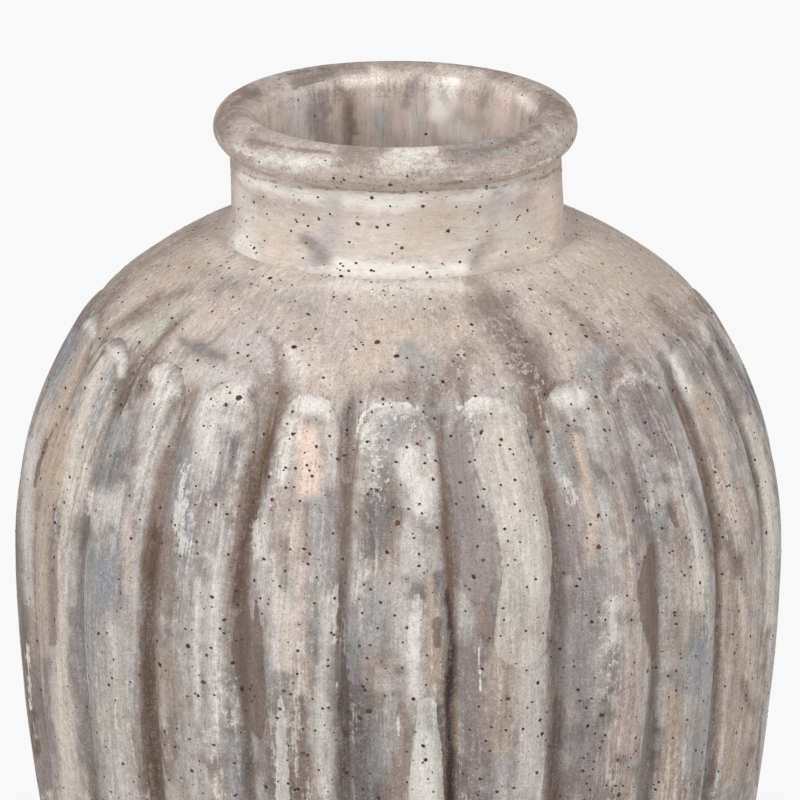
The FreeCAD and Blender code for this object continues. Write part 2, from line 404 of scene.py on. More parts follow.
# Lobes
def lobe_tip(number):
    """Height of a lobe's top: those at the front were cut a little lower."""
    from_front = min(number, LOBE_COUNT - number)
    return LOBE_TOP + np.interp(from_front, (0, 1, 2, 3, 11), (0.0, 1.5, 3.5, 5.0, 5.0))


def lobe_piece(number, columns=57, row_spacing=1.15):
    name = "lobe_%02d" % (number + 1)
    s_foot, s_top = length_at_height(LOBE_FOOT), length_at_height(lobe_tip(number))
    s = np.linspace(s_foot - 4, s_top + 4, int((s_top - s_foot + 8) / row_spacing))
    radius, height, normal_r, normal_z = at_length(s)
    left = lobe_edges[number] + wander(number, s) / radius
    right = lobe_edges[number + 1] + wander(number + 1, s) / radius
    middle, half = (left + right) / 2, (right - left) / 2
    reach = 1.06
    t = np.linspace(-reach, reach, columns)
    width = half * radius
    furrow = np.interp(height, (0, 60, 300, 350, 385, 400), (2.5, 1.6, 1.6, 2.2, 3.4, 3.6))
    lobe_half = (width - furrow)[:, None]
    across = t[None, :] * width[:, None]
    arch = 1.08 * float(np.interp(s_top - 18, s, width - furrow))
    past_top = np.maximum(0, s - (s_top - arch))[:, None]
    past_foot = np.maximum(0, (s_foot + arch) - s)[:, None]
    share = np.sqrt((across / lobe_half) ** 2 + ((past_top + past_foot) / arch) ** 2)
    early = np.interp(height, (330, 380), (0, 0.35))[:, None]
    near_tip = np.clip(np.maximum(past_top, past_foot) / arch + early, 0, 1)
    # The lobes round the back run out more softly at the top
    blunt = near_tip * np.interp(min(number, LOBE_COUNT - number), (5, 6.5), (1.0, -0.7))
    power = 1.0 - 0.35 * blunt
    square = 2.2 + 1.6 * blunt
    crown_share = np.interp((height - LOBE_FOOT) / (LOBE_TOP - LOBE_FOOT), *np.array(CROWN_SHARES).T)
    rise = np.maximum(0, 1 - np.minimum(share, 1) ** square) ** power * (LOBE_CROWN * crown_share)[:, None]
    at_end = np.clip((past_top + past_foot) / 12, 0, 1)
    floor = -FURROW_DEPTH * (1 - at_end) - (FURROW_DEPTH + 0.5) * at_end
    beyond = smoothstep(0.80, 1.12, share)
    out = rise + floor * beyond
    over = np.maximum(0, np.abs(t) - 1)[None, :] / (reach - 1)
    out = out - 0.9 * over ** 2
    angle = middle[:, None] + t[None, :] * half[:, None]

    def around(out_by, up_by):
        """Places or directions round the axis, one row for each point along the lobe."""
        level = np.repeat(up_by[:, None], columns, 1)
        return np.stack([out_by[:, None] * np.cos(angle), out_by[:, None] * np.sin(angle), level], -1)

    base, normal = around(radius, height), around(normal_r, normal_z)
    uneven = hand_made(base.reshape(-1, 3)).reshape(len(s), columns)
    top = base + normal * (out + uneven)[..., None]
    deep = 3.4
    left_edge = base[:, :1] - normal[:, :1] * deep
    right_edge = base[:, -1:] - normal[:, -1:] * deep
    points = np.concatenate([left_edge, top, right_edge], 1)
    rows, wide = points.shape[:2]
    faces = grid_faces(rows, wide)
    for i in range(rows - 1):
        faces.append([i * wide + wide - 1, i * wide, (i + 1) * wide, (i + 1) * wide + wide - 1])
    faces.append(list(range(wide - 1, -1, -1)))
    faces.append([(rows - 1) * wide + j for j in range(wide)])
    piece = mesh_object(name + "_skin", points.reshape(-1, 3), faces, name)
    relief = np.zeros((rows, wide))
    relief[:, 1:-1] = np.clip(rise / (LOBE_CROWN * 0.8), 0, 1)
    pieces[name + "_skin"] = piece
    return piece, relief.ravel()


reliefs = {}
for number in range(LOBE_COUNT):
    piece, relief = lobe_piece(number)
    reliefs[piece.name] = relief

# Paint
# Tones by name, as sRGB 0-255
TONES = {
    "cream": (206, 196, 185), "white": (222, 217, 211), "bone": (206, 198, 189), "pale": (200, 193, 189),
    "grey": (164, 160, 158), "blue": (156, 155, 157), "slate": (122, 117, 116), "lilac": (190, 182, 179),
    "mauve": (150, 140, 138), "purple": (127, 115, 112), "sage": (178, 173, 161), "sand": (193, 178, 165),
    "beige": (183, 167, 154), "stone": (154, 148, 145), "dusk": (112, 103, 99), "warm": (195, 178, 166),
    "taupe": (140, 124, 115), "brown": (110, 93, 85), "dark": (98, 86, 80),
    "peach": (210, 192, 179), "pink": (200, 181, 175), "salmon": (222, 200, 187), "ochre": (190, 172, 155),
}
BACK_TONES = ("white", "pale", "grey", "blue", "lilac", "mauve", "sand", "cream", "taupe", "beige", "peach", "slate")
TIP_LENGTH = float(length_at_height(LOBE_TOP))
CIRCLE = 2 * math.pi * BRUSH_RADIUS


def linear(tone):
    channel = np.array(TONES[tone]) / 255
    return np.where(channel <= 0.04045, channel / 12.92, ((channel + 0.055) / 1.055) ** 2.4)


def seen_at(points):
    """Where points fall on the photograph, in its pixels."""
    ahead = np.array((0, math.cos(VIEW_ELEVATION), -math.sin(VIEW_ELEVATION)))
    up = np.array((0, math.sin(VIEW_ELEVATION), math.cos(VIEW_ELEVATION)))
    away = points - np.array(VIEW_TARGET) + ahead * VIEW_DISTANCE
    zoom = LENS / SENSOR * IMAGE_SIZE / (away @ ahead)
    return IMAGE_SIZE / 2 + away[:, 0] * zoom, IMAGE_SIZE / 2 - (away @ up) * zoom


def drawn_out(along, share):
    """Length along the outline for brush noise: stretched on the body, less so on the dome."""
    return np.minimum(along, TIP_LENGTH) * share + np.maximum(0, along - TIP_LENGTH) * max(share, 0.45)


class Surface:
    """The points of one piece, and the paint on them."""

    def __init__(self, piece, part, relief=None):
        self.piece, self.part = piece, part
        mesh = piece.data
        count = len(mesh.vertices)
        place = np.zeros(count * 3, np.float32)
        mesh.vertices.foreach_get("co", place)
        self.place = place.reshape(-1, 3).astype(float) / METRE
        normal = np.zeros(count * 3, np.float32)
        mesh.vertex_normals.foreach_get("vector", normal)
        x, y, z = self.place.T
        radius, angle = np.hypot(x, y), np.arctan2(y, x)
        self.relief = np.full(count, 0.5) if relief is None else relief
        self.px, self.py = seen_at(self.place)
        towards = np.array((0, -math.cos(VIEW_ELEVATION), math.sin(VIEW_ELEVATION)))
        seen = smoothstep(-0.10, 0.08, normal.reshape(-1, 3) @ towards)
        bore = (radius < MOUTH_RADIUS + 2.5) & (z > 400)
        outside = seen * (1 - smoothstep(60, 100, y)) * ~bore
        mouth = seen * (y > 0)
        self.parts = {
            "body": outside * (part == "body"),
            "dome": outside * piece.name.startswith("shoulder"),
            "lobes": outside * (part == "body") * (not piece.name.startswith("shoulder")),
            "neck": outside * (part == "neck"),
            "rim": seen * (part == "rim"),
            "inside": mouth * (bore * (part == "neck") + (part == "rim") * (1 - smoothstep(69, 73, radius))),
            "back": (1 - outside) * (part == "body"),
        }
        self.round = ((angle + 1.5 * math.pi) % (2 * math.pi) - math.pi) * BRUSH_RADIUS
        self.along = length_at_height(np.clip(z, 0, BODY_HEIGHT)) + np.maximum(0, z - BODY_HEIGHT)
        cosine, sine = np.cos(angle) * BRUSH_RADIUS, np.sin(angle) * BRUSH_RADIUS
        bend = 3.0 * value_noise(self.place, 55.0, BEND_SEED) / BRUSH_RADIUS
        if part == "body":
            brush = (cosine - sine * bend, sine + cosine * bend, drawn_out(self.along, 0.07))
            broad = (cosine - 2 * sine * bend, sine + 2 * cosine * bend, drawn_out(self.along, 0.22))
        elif part == "neck":
            turned = np.where(bore, 0.5, 0.12)
            waved = z + 2.7 * bend * BRUSH_RADIUS / 3
            brush = broad = (cosine * turned, sine * turned, np.where(bore, z * 0.12, waved))
        else:
            turned = np.where(bore, 0.5, 0.2)
            brush = broad = (cosine * turned, sine * turned, np.where(bore, z * 0.12, z + 0.15 * sine))
        centre = math.atan2(sine.mean(), cosine.mean()) + math.pi / 2
        self.middle = centre * BRUSH_RADIUS
        self.reach = np.abs(self.turned_from(self.middle)).max()
        self.brush, self.broad = np.column_stack(brush), np.column_stack(broad)
        coarse, fine = RAGGED_SEEDS
        self.ragged = 3.2 * value_noise(self.broad, 5.0, coarse) + 2.6 * value_noise(self.place, 2.4, fine)
        self.coats = {name: np.zeros((count, 4)) for name in ("wash", "dry", "full", "late")}
        self.coats["wash"][:, 3] = 1
        self.grains = {name: np.zeros(count) for name in ("scumble", "grime")}

    def turned_from(self, x):
        return (self.round - x + CIRCLE / 2) % CIRCLE - CIRCLE / 2

    def stroke(self, where, coat, tone, soft, strength, *points):
        """Lays one stroke of paint. A wash blends in; the other coats keep the stronger of two strokes."""
        weight = self.parts[where]
        here = weight > 0
        if not here.any():
            return
        x, y = (self.round, self.along) if where == "back" else (self.px, self.py)
        widest = max(w for _, _, w in points) + soft + 8
        across, upright = [p[0] for p in points], [p[1] for p in points]
        if where == "back":
            far = (across[0] - self.middle + CIRCLE / 2) % CIRCLE - CIRCLE / 2
            if abs(far) > self.reach + widest + max(across) - min(across):
                return
        elif (x[here].max() < min(across) - widest or x[here].min() > max(across) + widest):
            return
        if y[here].max() < min(upright) - widest or y[here].min() > max(upright) + widest:
            return
        inside = np.full(len(x), -1e3)
        for (ax, ay, aw), (bx, by, bw) in zip(points, points[1:] or points):
            gap = x - ax
            if where == "back":
                gap = (gap + CIRCLE / 2) % CIRCLE - CIRCLE / 2
            dx, dy = bx - ax, by - ay
            share = np.clip((gap * dx + (y - ay) * dy) / max(dx * dx + dy * dy, 1e-6), 0, 1)
            away = np.hypot(gap - share * dx, y - ay - share * dy)
            inside = np.maximum(inside, aw + (bw - aw) * share - away)
        inside += self.ragged * min(1, 0.12 + soft / 8)
        field = np.clip(0.5 + inside / (2 * soft), 0, 1) * weight * strength
        if coat in self.grains:
            self.grains[coat] = np.maximum(self.grains[coat], field)
            return
        layer = self.coats[coat]
        if coat == "wash":
            share = smoothstep(0, 1, field / max(strength, 1e-6)) * strength
            layer[:, :3] += (linear(tone) - layer[:, :3]) * share[:, None]
        else:
            stronger = field > layer[:, 3]
            layer[stronger, :3] = linear(tone)
            layer[:, 3] = np.maximum(layer[:, 3], field)

    def ground(self, seed):
        """The clouded first coats, drawn out a little along the brush, and darker down in the furrows, where the dark
        first coat shows and painted shade is laid in.
        """
        tone = np.zeros((len(self.place), 3)) + linear("stone")
        # Tone, size of its clouds, how rarely it comes, how thick it lies at most
        layers = (
            ("sand", 16, 0.0, 0.6), ("lilac", 13, -0.15, 0.5), ("taupe", 10, -0.1, 0.6),
            ("slate", 8, -0.35, 0.7), ("pale", 6, -0.2, 0.65),
        )
        for name, size, shift, most in layers:
            seed += 1
            hills = value_noise(self.broad, size, seed) + 0.6 * value_noise(self.place, size * 0.7, seed + 50)
            tone += (linear(name) - tone) * (most * smoothstep(-0.5, 0.7, hills + shift))[:, None]
        # Dark first coat and painted shade together, down in the furrows
        low = np.clip(1 - self.relief / 0.35, 0, 1) * (self.relief < 0.5)
        tone += (linear("taupe") * 0.85 - tone) * (0.6 * low)[:, None]
        warm = smoothstep(388, 412, self.place[:, 2])
        tone += (linear("warm") - tone) * (0.55 * warm)[:, None]
        self.coats["wash"][:, :3] = tone

    def store(self):
        """Keeps the paint on the mesh, where the material reads it. Furrows hold more of the dark first coat and get
        painted shade; the body below the lobes' tips and the rim get painted shade, and the inside of the mouth painted
        light.
        """
        mesh = self.piece.data
        # Painted shade in the furrows, over their dark first coat, fading towards the lobes' tips
        low = np.clip(1 - self.relief / 0.30, 0, 1) * (self.relief < 0.5)
        low *= 1 - 0.55 * smoothstep(LOBE_TOP - 90, LOBE_TOP - 38, self.place[:, 2])
        below = 1 - smoothstep(LOBE_TOP - 6, LOBE_TOP + 14, self.place[:, 2])
        mean = linear("stone")
        # Painted shade: the body below the lobes' tips, darker lower down, and the rim a little
        shade = below * (0.25 - 0.10 * smoothstep(220, 320, self.place[:, 2])) + 0.06 * (self.part == "rim")
        wash = self.coats["wash"]
        # The wash's fourth channel tells the material how strongly the brush shows
        wash[:, 3] = {"neck": 0.35, "rim": 1.0, "body": 0.9}[self.part] + 0.1 * below * (self.part == "body")
        wash[:, :3] = np.clip(mean + (wash[:, :3] - mean) * (1.15 + 0.28 * below)[:, None], 0.04, 0.9)
        # Applies the painted shade, and painted light that lightens the inside of the mouth
        wash[:, :3] *= ((1 - 0.24 * low) * (1 - shade) * (1 + 0.55 * self.parts["inside"]))[:, None]
        for name, layer in self.coats.items():
            attribute = mesh.attributes.new(name, "FLOAT_COLOR", "POINT")
            attribute.data.foreach_set("color", layer.astype(np.float32).ravel())
        wear = np.column_stack([self.relief, self.grains["scumble"], self.grains["grime"]])
        for name, value in (("brush", self.brush), ("wear", wear)):
            attribute = mesh.attributes.new(name, "FLOAT_VECTOR", "POINT")
            attribute.data.foreach_set("vector", value.astype(np.float32).ravel())


def back_strokes():
    """Strokes for the sides that the photograph doesn't show, in the manner of those that it does."""
    pick = np.random.default_rng(BACK_SEED)
    foot, tip = float(length_at_height(LOBE_FOOT)), TIP_LENGTH
    found = []
    for lobe in range(LOBE_COUNT):
        left, right = lobe_edges[lobe], lobe_edges[lobe + 1]
        middle, edge = ((left + right) / 2 + math.pi / 2) * BRUSH_RADIUS, (left + math.pi / 2) * BRUSH_RADIUS
        half = (right - left) / 2 * BRUSH_RADIUS
        found.append((
            "wash", "white", 6, pick.uniform(0.5, 0.9),
            (middle - half * 0.4, tip - 14, 7), (middle + half * 0.4, tip - 14, 7),
        ))
        # Down each furrow, taupe and brown bands: dark paint with painted shade
        found.append((
            "wash", "taupe", 5, pick.uniform(0.6, 0.9),
            (edge, foot, 4), (edge + pick.uniform(-2, 2), tip / 2, 4), (edge, tip, 3),
        ))
        found.append((
            "wash", "brown", 4, pick.uniform(0.3, 0.7),
            (edge + 1, pick.uniform(60, 200), 2), (edge, pick.uniform(220, 400), 3),
        ))
        for _ in range(9):
            x, start = middle + pick.uniform(-0.8, 0.8) * half, pick.uniform(foot - 20, tip - 30)
            length = pick.uniform(30, 120)
            tone, wide = BACK_TONES[pick.integers(len(BACK_TONES))], pick.uniform(3, 8)
            drift = pick.uniform(-6, 6)
            found.append((
                "wash", tone, 8, pick.uniform(0.4, 0.8), (x, start, wide * 0.6),
                (x + drift / 2, start + length / 2, wide), (x + drift, start + length, wide * 0.5),
            ))
        for _ in range(3):
            x, start = middle + pick.uniform(-0.8, 0.8) * half, pick.uniform(foot, tip - 60)
            length = pick.uniform(15, 60)
            tone = ("white", "pale", "slate", "taupe", "bone")[pick.integers(5)]
            found.append((
                ("dry", "full")[pick.integers(2)], tone, 4, pick.uniform(0.8, 1),
                (x, start, 2.5), (x + pick.uniform(-4, 4), start + length, 4),
            ))
    for _ in range(90):
        x, start = pick.uniform(-CIRCLE / 2, CIRCLE / 2), pick.uniform(tip - 10, tip + 70)
        turn = pick.uniform(-30, 30)
        tone, wide = BACK_TONES[pick.integers(len(BACK_TONES))], pick.uniform(7, 16)
        found.append((
            "wash", tone, 14, pick.uniform(0.3, 0.6),
            (x, start, wide), (x + turn, start + pick.uniform(10, 40), wide),
        ))
    return found


# Brush strokes, as they lie in the photograph: tone, softness of the edge, strength, then places as (x, y, half
# width) in its pixels. Some of them are painted shade and painted highlights, marked where they stand.
# Coats go on in this order: wash (blended in), dry (broken up by the bristles), full (ragged edge), late (crisp
# edge),
# and over them scumble (fine white grains) and grime (fine dark ones).
DARK_TONES = ("taupe", "brown", "dark", "slate", "mauve", "dusk")
STROKES = {
    ("dome", "wash"): (
        # Dome of the shoulder, left to right
        # Painted shade down the dome's left limb
        ("taupe", 12, 0.78, (96, 318, 8), (130, 272, 8), (200, 228, 6)),
        ("beige", 12, 1, (150, 285, 12), (190, 262, 18), (215, 240, 12)),
        ("sand", 9, 0.78, (120, 315, 7), (150, 290, 10), (175, 285, 9)),
        # Painted shade up the groove between two lobes' tips
        ("taupe", 6, 0.91, (92, 368, 5), (108, 346, 7), (128, 322, 7), (160, 298, 5), (188, 290, 4)),
        ("cream", 7, 0.78, (118, 337, 6), (140, 332, 9), (152, 345, 6)),
        ("sage", 8, 0.91, (150, 335, 8), (172, 315, 9), (195, 305, 5)),
        ("taupe", 5, 0.91, (124, 388, 5), (142, 365, 5), (160, 340, 4), (182, 318, 3), (203, 303, 1)),
        ("peach", 9, 0.46, (228, 298, 7), (205, 312, 13), (192, 326, 8)),
        ("slate", 6, 0.59, (182, 340, 3), (203, 352, 8), (222, 358, 8)),
        ("lilac", 14, 0.78, (232, 350, 12), (258, 335, 20), (275, 362, 18)),
        ("pale", 12, 0.72, (178, 372, 10), (215, 376, 14), (245, 380, 10)),
        ("mauve", 7, 0.78, (214, 292, 6), (240, 277, 9), (262, 264, 7)),
        ("cream", 7, 0.65, (265, 268, 8), (300, 268, 8)),
        ("grey", 10, 0.59, (285, 290, 10), (312, 305, 14)),
        ("lilac", 12, 0.59, (340, 325, 14), (350, 290, 12)),
        # Painted shade along the side of a groove, above a front furrow
        ("taupe", 7, 0.78, (262, 330, 3), (280, 352, 5), (276, 385, 8)),
        ("sand", 9, 0.98, (305, 358, 11), (318, 380, 14), (338, 390, 8)),
        ("sand", 14, 0.85, (370, 312, 24), (405, 335, 24), (365, 360, 20)),
        ("taupe", 10, 0.59, (375, 388, 9), (412, 386, 9)),
        ("lilac", 9, 0.52, (350, 290, 12), (410, 288, 18)),
        ("grey", 9, 0.65, (412, 352, 12), (428, 368, 12)),
        ("taupe", 12, 0.78, (470, 262, 7), (480, 290, 12), (505, 300, 10)),
        ("brown", 14, 0.55, (508, 330, 11), (528, 358, 15), (545, 388, 10)),
        ("taupe", 12, 0.65, (445, 384, 12), (468, 352, 12)),
        ("ochre", 5, 0.91, (452, 328, 3), (462, 332, 4)),
        ("sand", 12, 0.78, (560, 335, 12), (572, 368, 11)),
        ("taupe", 6, 0.78, (560, 300, 3), (585, 325, 5), (604, 346, 6)),
        ("blue", 10, 0.72, (586, 368, 12), (606, 352, 9)),
        ("slate", 6, 0.59, (612, 362, 5), (626, 350, 4)),
        ("sand", 16, 0.91, (560, 262, 20), (610, 262, 18), (650, 300, 12)),
        ("peach", 8, 0.5, (588, 288, 6), (608, 297, 9)),
        ("beige", 12, 0.78, (640, 250, 12), (672, 288, 8), (640, 330, 14)),
        ("taupe", 8, 0.78, (652, 298, 5), (668, 318, 7), (688, 340, 6)),
        ("taupe", 9, 0.65, (700, 300, 7), (728, 350, 7), (752, 410, 5)),
        ("brown", 16, 0.45, (480, 300, 14), (520, 350, 20), (548, 388, 12)),
        # Round the neck's foot: the cream and white are painted light, lightening the dome where it meets the neck
        ("cream", 12, 0.75, (212, 250, 9), (240, 270, 8), (300, 286, 8), (400, 291, 7), (500, 286, 8),
            (560, 266, 8), (592, 246, 9)),
        ("white", 6, 0.5, (330, 284, 4), (400, 287, 4), (460, 285, 4)),
        ("taupe", 5, 0.5, (470, 282, 5), (490, 290, 6)),
    ),
    ("lobes", "wash"): (
        # The taupe, brown and dark lines down the furrows are dark paint with painted shade
        # Left limb to the furrow at x 80
        ("brown", 7, 0.6, (17, 440, 4), (19, 560, 7), (25, 640, 6), (40, 750, 6)),
        ("pale", 5, 0.91, (32, 440, 4), (26, 520, 4), (27, 600, 3)),
        ("beige", 8, 0.91, (56, 415, 9), (42, 500, 8), (42, 580, 8), (42, 650, 7)),
        ("ochre", 7, 0.78, (68, 425, 7), (60, 468, 8), (54, 500, 5)),
        ("blue", 6, 0.78, (75, 335, 5), (63, 362, 6), (50, 392, 5)),
        ("beige", 7, 0.91, (80, 362, 5), (66, 400, 7)),
        ("white", 5, 0.72, (89, 325, 4), (94, 334, 3)),
        ("white", 5, 0.72, (112, 352, 6), (121, 360, 6), (121, 374, 4)),
        ("cream", 6, 1, (102, 362, 7), (91, 388, 8), (80, 425, 6), (72, 470, 5), (65, 530, 4), (61, 610, 4),
            (63, 690, 7), (68, 800, 9)),
        ("grey", 5, 0.91, (111, 374, 4), (104, 398, 5), (90, 430, 3)),
        ("cream", 5, 0.78, (113, 398, 3), (100, 432, 4), (87, 475, 4), (79, 510, 3)),
        # To the furrow at x 150
        ("brown", 8, 0.39, (140, 388, 7), (122, 402, 7)),
        ("white", 7, 0.72, (158, 374, 8), (169, 388, 8), (158, 402, 6)),
        ("pale", 9, 0.91, (160, 412, 8), (150, 442, 8), (145, 480, 7)),
        ("grey", 9, 0.91, (120, 428, 12), (112, 470, 15), (104, 492, 12)),
        ("slate", 8, 0.65, (120, 456, 6), (106, 478, 8), (124, 476, 5)),
        ("mauve", 5, 0.91, (136, 414, 3), (133, 440, 4), (130, 463, 4)),
        ("pale", 8, 0.91, (94, 497, 7), (112, 503, 9), (104, 518, 7)),
        ("slate", 7, 0.65, (88, 534, 6), (98, 542, 5)),
        ("blue", 12, 0.98, (98, 560, 14), (106, 592, 15)),
        ("grey", 10, 0.78, (84, 590, 7), (82, 680, 7), (90, 760, 8)),
        ("pale", 12, 0.78, (112, 630, 14), (115, 700, 15), (120, 790, 14)),
        ("white", 6, 0.52, (151, 495, 4), (145, 522, 4)),
        ("peach", 5, 0.53, (128, 518, 4), (131, 555, 6), (127, 590, 3)),
        ("lilac", 5, 0.91, (141, 520, 3), (137, 600, 4), (133, 680, 4)),
        ("taupe", 6, 1, (168, 452, 4), (157, 500, 6), (150, 560, 9), (148, 640, 9), (149, 720, 9), (152, 800, 9)),
        ("brown", 6, 0.39, (158, 520, 4), (150, 565, 6), (145, 620, 4), (148, 700, 5), (151, 790, 5)),
        # To the furrow at x 243
        ("white", 7, 0.72, (212, 397, 10), (234, 391, 11), (246, 403, 6)),
        ("pale", 9, 0.78, (200, 412, 10), (236, 424, 10)),
        ("lilac", 10, 0.91, (200, 424, 9), (206, 452, 13), (212, 482, 11)),
        ("slate", 8, 0.65, (234, 440, 5), (229, 468, 7), (218, 490, 9)),
        ("grey", 9, 0.78, (186, 450, 7), (178, 505, 9)),
        ("blue", 7, 0.85, (186, 500, 6), (184, 545, 7), (187, 565, 5)),
        ("mauve", 9, 0.52, (204, 500, 9), (207, 532, 9)),
        ("lilac", 8, 0.65, (216, 520, 7), (212, 562, 7)),
        ("taupe", 8, 0.72, (170, 535, 7), (168, 582, 9), (172, 612, 9)),
        ("grey", 9, 0.65, (186, 600, 8), (180, 645, 9)),
        ("beige", 9, 0.65, (166, 660, 7), (170, 710, 8)),
        ("white", 4, 0.72, (198, 582, 3), (197, 640, 3), (197, 720, 2)),
        ("pale", 7, 0.91, (216, 560, 6), (212, 620, 9), (216, 690, 9), (214, 750, 8)),
        ("lilac", 8, 0.65, (190, 712, 8), (188, 760, 8), (200, 795, 9)),
        ("blue", 8, 0.65, (234, 742, 7), (236, 795, 8)),
        ("taupe", 6, 1, (284, 390, 5), (270, 428, 8), (258, 470, 11), (248, 512, 8), (239, 555, 8), (237, 600, 9)),
        ("brown", 6, 0.43, (272, 442, 7), (262, 482, 8), (250, 522, 6), (238, 565, 5), (236, 605, 5)),
        # To the furrow at x 343
        ("white", 5, 0.72, (300, 406, 9), (322, 407, 9), (330, 416, 5)),
        ("salmon", 8, 0.9, (306, 438, 11), (312, 465, 12), (307, 490, 9)),
        ("white", 5, 0.72, (292, 422, 6), (288, 452, 4), (281, 482, 3)),
        ("pale", 6, 0.78, (331, 432, 6), (332, 472, 6)),
        ("peach", 6, 0.53, (294, 512, 5), (300, 555, 7), (303, 605, 8), (299, 645, 6)),
        ("grey", 7, 0.91, (322, 508, 7), (323, 545, 9), (327, 582, 6)),
        ("taupe", 5, 0.59, (308, 512, 3), (305, 560, 4)),
        ("lilac", 6, 0.91, (268, 528, 5), (262, 562, 6), (262, 600, 4)),
        ("white", 6, 0.66, (272, 560, 5), (277, 620, 5), (274, 665, 5)),
        ("pale", 7, 1, (326, 600, 6), (326, 650, 6), (320, 722, 8), (326, 795, 8)),
        ("cream", 6, 0.91, (284, 600, 5), (288, 665, 6)),
        ("beige", 7, 0.78, (305, 660, 7), (299, 692, 7)),
        ("taupe", 6, 0.78, (300, 702, 7), (300, 745, 9), (300, 795, 9)),
        ("mauve", 5, 0.78, (336, 652, 5), (338, 672, 3)),
        # To the furrow at x 450
        ("taupe", 7, 0.91, (349, 440, 4), (346, 482, 5), (347, 522, 6), (345, 548, 4)),
        ("grey", 9, 0.72, (392, 430, 16)),
        ("white", 8, 0.72, (362, 432, 5), (367, 412, 5), (392, 403, 6), (416, 409, 5)),
        ("grey", 9, 0.78, (374, 466, 13)),
        ("white", 8, 0.72, (410, 458, 12), (404, 470, 8), (426, 488, 9), (418, 503, 11)),
        ("pale", 8, 0.78, (432, 440, 6), (430, 520, 8)),
        ("slate", 9, 0.78, (372, 502, 13), (375, 530, 15), (372, 552, 13)),
        ("pale", 10, 0.78, (412, 540, 13), (420, 572, 10)),
        ("white", 7, 0.47, (433, 540, 6), (429, 562, 6)),
        ("grey", 12, 0.78, (370, 592, 15), (368, 645, 16)),
        ("lilac", 10, 0.65, (392, 590, 9), (400, 642, 9)),
        ("blue", 8, 0.72, (381, 602, 7), (382, 642, 6)),
        ("slate", 12, 0.59, (366, 700, 15), (360, 762, 15), (364, 800, 15)),
        ("blue", 10, 0.59, (386, 722, 10), (374, 772, 11)),
        ("pale", 7, 0.91, (412, 620, 8), (414, 672, 8), (420, 695, 8)),
        ("white", 5, 0.52, (412, 652, 5), (414, 692, 5)),
        ("ochre", 4, 1, (430, 572, 2), (431, 600, 3), (432, 620, 4)),
        ("beige", 5, 1, (433, 618, 5), (434, 645, 8), (433, 692, 6)),
        ("white", 5, 0.72, (424, 738, 10), (425, 800, 13)),
        ("taupe", 5, 1, (440, 420, 3), (444, 480, 3), (446, 530, 5), (450, 572, 6), (455, 622, 5), (451, 690, 8),
            (450, 745, 8), (450, 800, 8)),
        ("dark", 3, 0.95, (446, 590, 2), (453, 640, 3), (449, 690, 4), (450, 800, 4)),
        # To the furrow at x 555
        ("white", 7, 0.72, (462, 405, 6), (482, 400, 8), (506, 402, 8)),
        ("mauve", 8, 1, (455, 435, 9), (460, 480, 13), (472, 522, 18), (480, 562, 18), (476, 590, 12)),
        ("lilac", 6, 0.78, (462, 596, 7), (461, 640, 4)),
        ("taupe", 7, 0.91, (484, 596, 7), (484, 632, 9)),
        ("mauve", 8, 0.85, (470, 652, 10), (472, 700, 11), (476, 745, 9)),
        ("ochre", 5, 0.52, (455, 700, 4), (457, 742, 5)),
        ("brown", 8, 0.39, (466, 768, 10), (470, 800, 12)),
        ("beige", 11, 0.91, (506, 660, 18), (503, 705, 18), (500, 745, 14)),
        ("pale", 9, 0.91, (533, 650, 12), (530, 700, 14), (532, 780, 14)),
        ("lilac", 8, 0.65, (505, 770, 12), (510, 800, 12)),
        ("pink", 6, 0.78, (544, 602, 5), (541, 645, 5)),
        ("taupe", 6, 1, (537, 398, 8), (545, 440, 7), (551, 482, 4), (556, 540, 4), (558, 600, 5), (556, 680, 6),
            (552, 742, 6), (548, 800, 6)),
        ("slate", 4, 0.52, (555, 500, 2), (557, 600, 3), (555, 690, 3), (550, 790, 3)),
        ("cream", 8, 0.8, (502, 435, 14), (508, 480, 16), (518, 520, 12)),
        ("pale", 9, 0.85, (528, 520, 10), (534, 590, 12)),
        ("white", 6, 0.5, (518, 548, 6), (532, 578, 6)),
        # To the furrow at x 650
        ("white", 6, 0.72, (556, 399, 7), (578, 398, 8)),
        ("grey", 9, 0.78, (556, 430, 9), (560, 472, 11)),
        ("mauve", 10, 0.72, (568, 502, 12), (575, 562, 14)),
        ("pale", 9, 0.65, (592, 420, 9), (602, 442, 7)),
        ("sand", 5, 0.98, (577, 438, 4), (585, 472, 4), (592, 522, 5), (590, 562, 5)),
        ("peach", 8, 0.31, (612, 450, 5), (622, 492, 6), (627, 542, 6)),
        ("pale", 9, 0.65, (602, 502, 6), (612, 562, 8), (612, 600, 8)),
        ("grey", 10, 0.78, (576, 622, 14), (580, 685, 16)),
        ("lilac", 8, 0.59, (566, 640, 6), (561, 692, 6)),
        ("white", 5, 0.66, (612, 602, 6), (613, 640, 4)),
        ("beige", 7, 0.78, (629, 600, 6), (630, 562, 5)),
        ("taupe", 7, 0.59, (624, 618, 7)),
        ("pink", 9, 0.85, (636, 650, 8), (630, 692, 11), (624, 745, 13)),
        ("mauve", 8, 0.65, (612, 662, 8), (617, 690, 7)),
        ("slate", 9, 0.52, (590, 732, 8), (560, 742, 7)),
        ("taupe", 10, 0.65, (570, 780, 11), (562, 800, 10)),
        ("beige", 8, 0.65, (606, 768, 9), (632, 785, 9)),
        ("mauve", 5, 0.78, (612, 400, 3), (628, 452, 3), (642, 512, 3), (652, 570, 4), (655, 640, 4),
            (650, 700, 3), (642, 790, 4)),
        # To the furrow at x 716
        ("mauve", 8, 1, (634, 400, 12), (655, 430, 13), (668, 455, 9)),
        ("pale", 4, 0.78, (620, 396, 3), (632, 442, 4), (640, 480, 3)),
        ("grey", 7, 0.91, (648, 472, 7), (656, 525, 8)),
        ("pale", 6, 0.78, (672, 470, 5), (684, 502, 5), (699, 545, 6)),
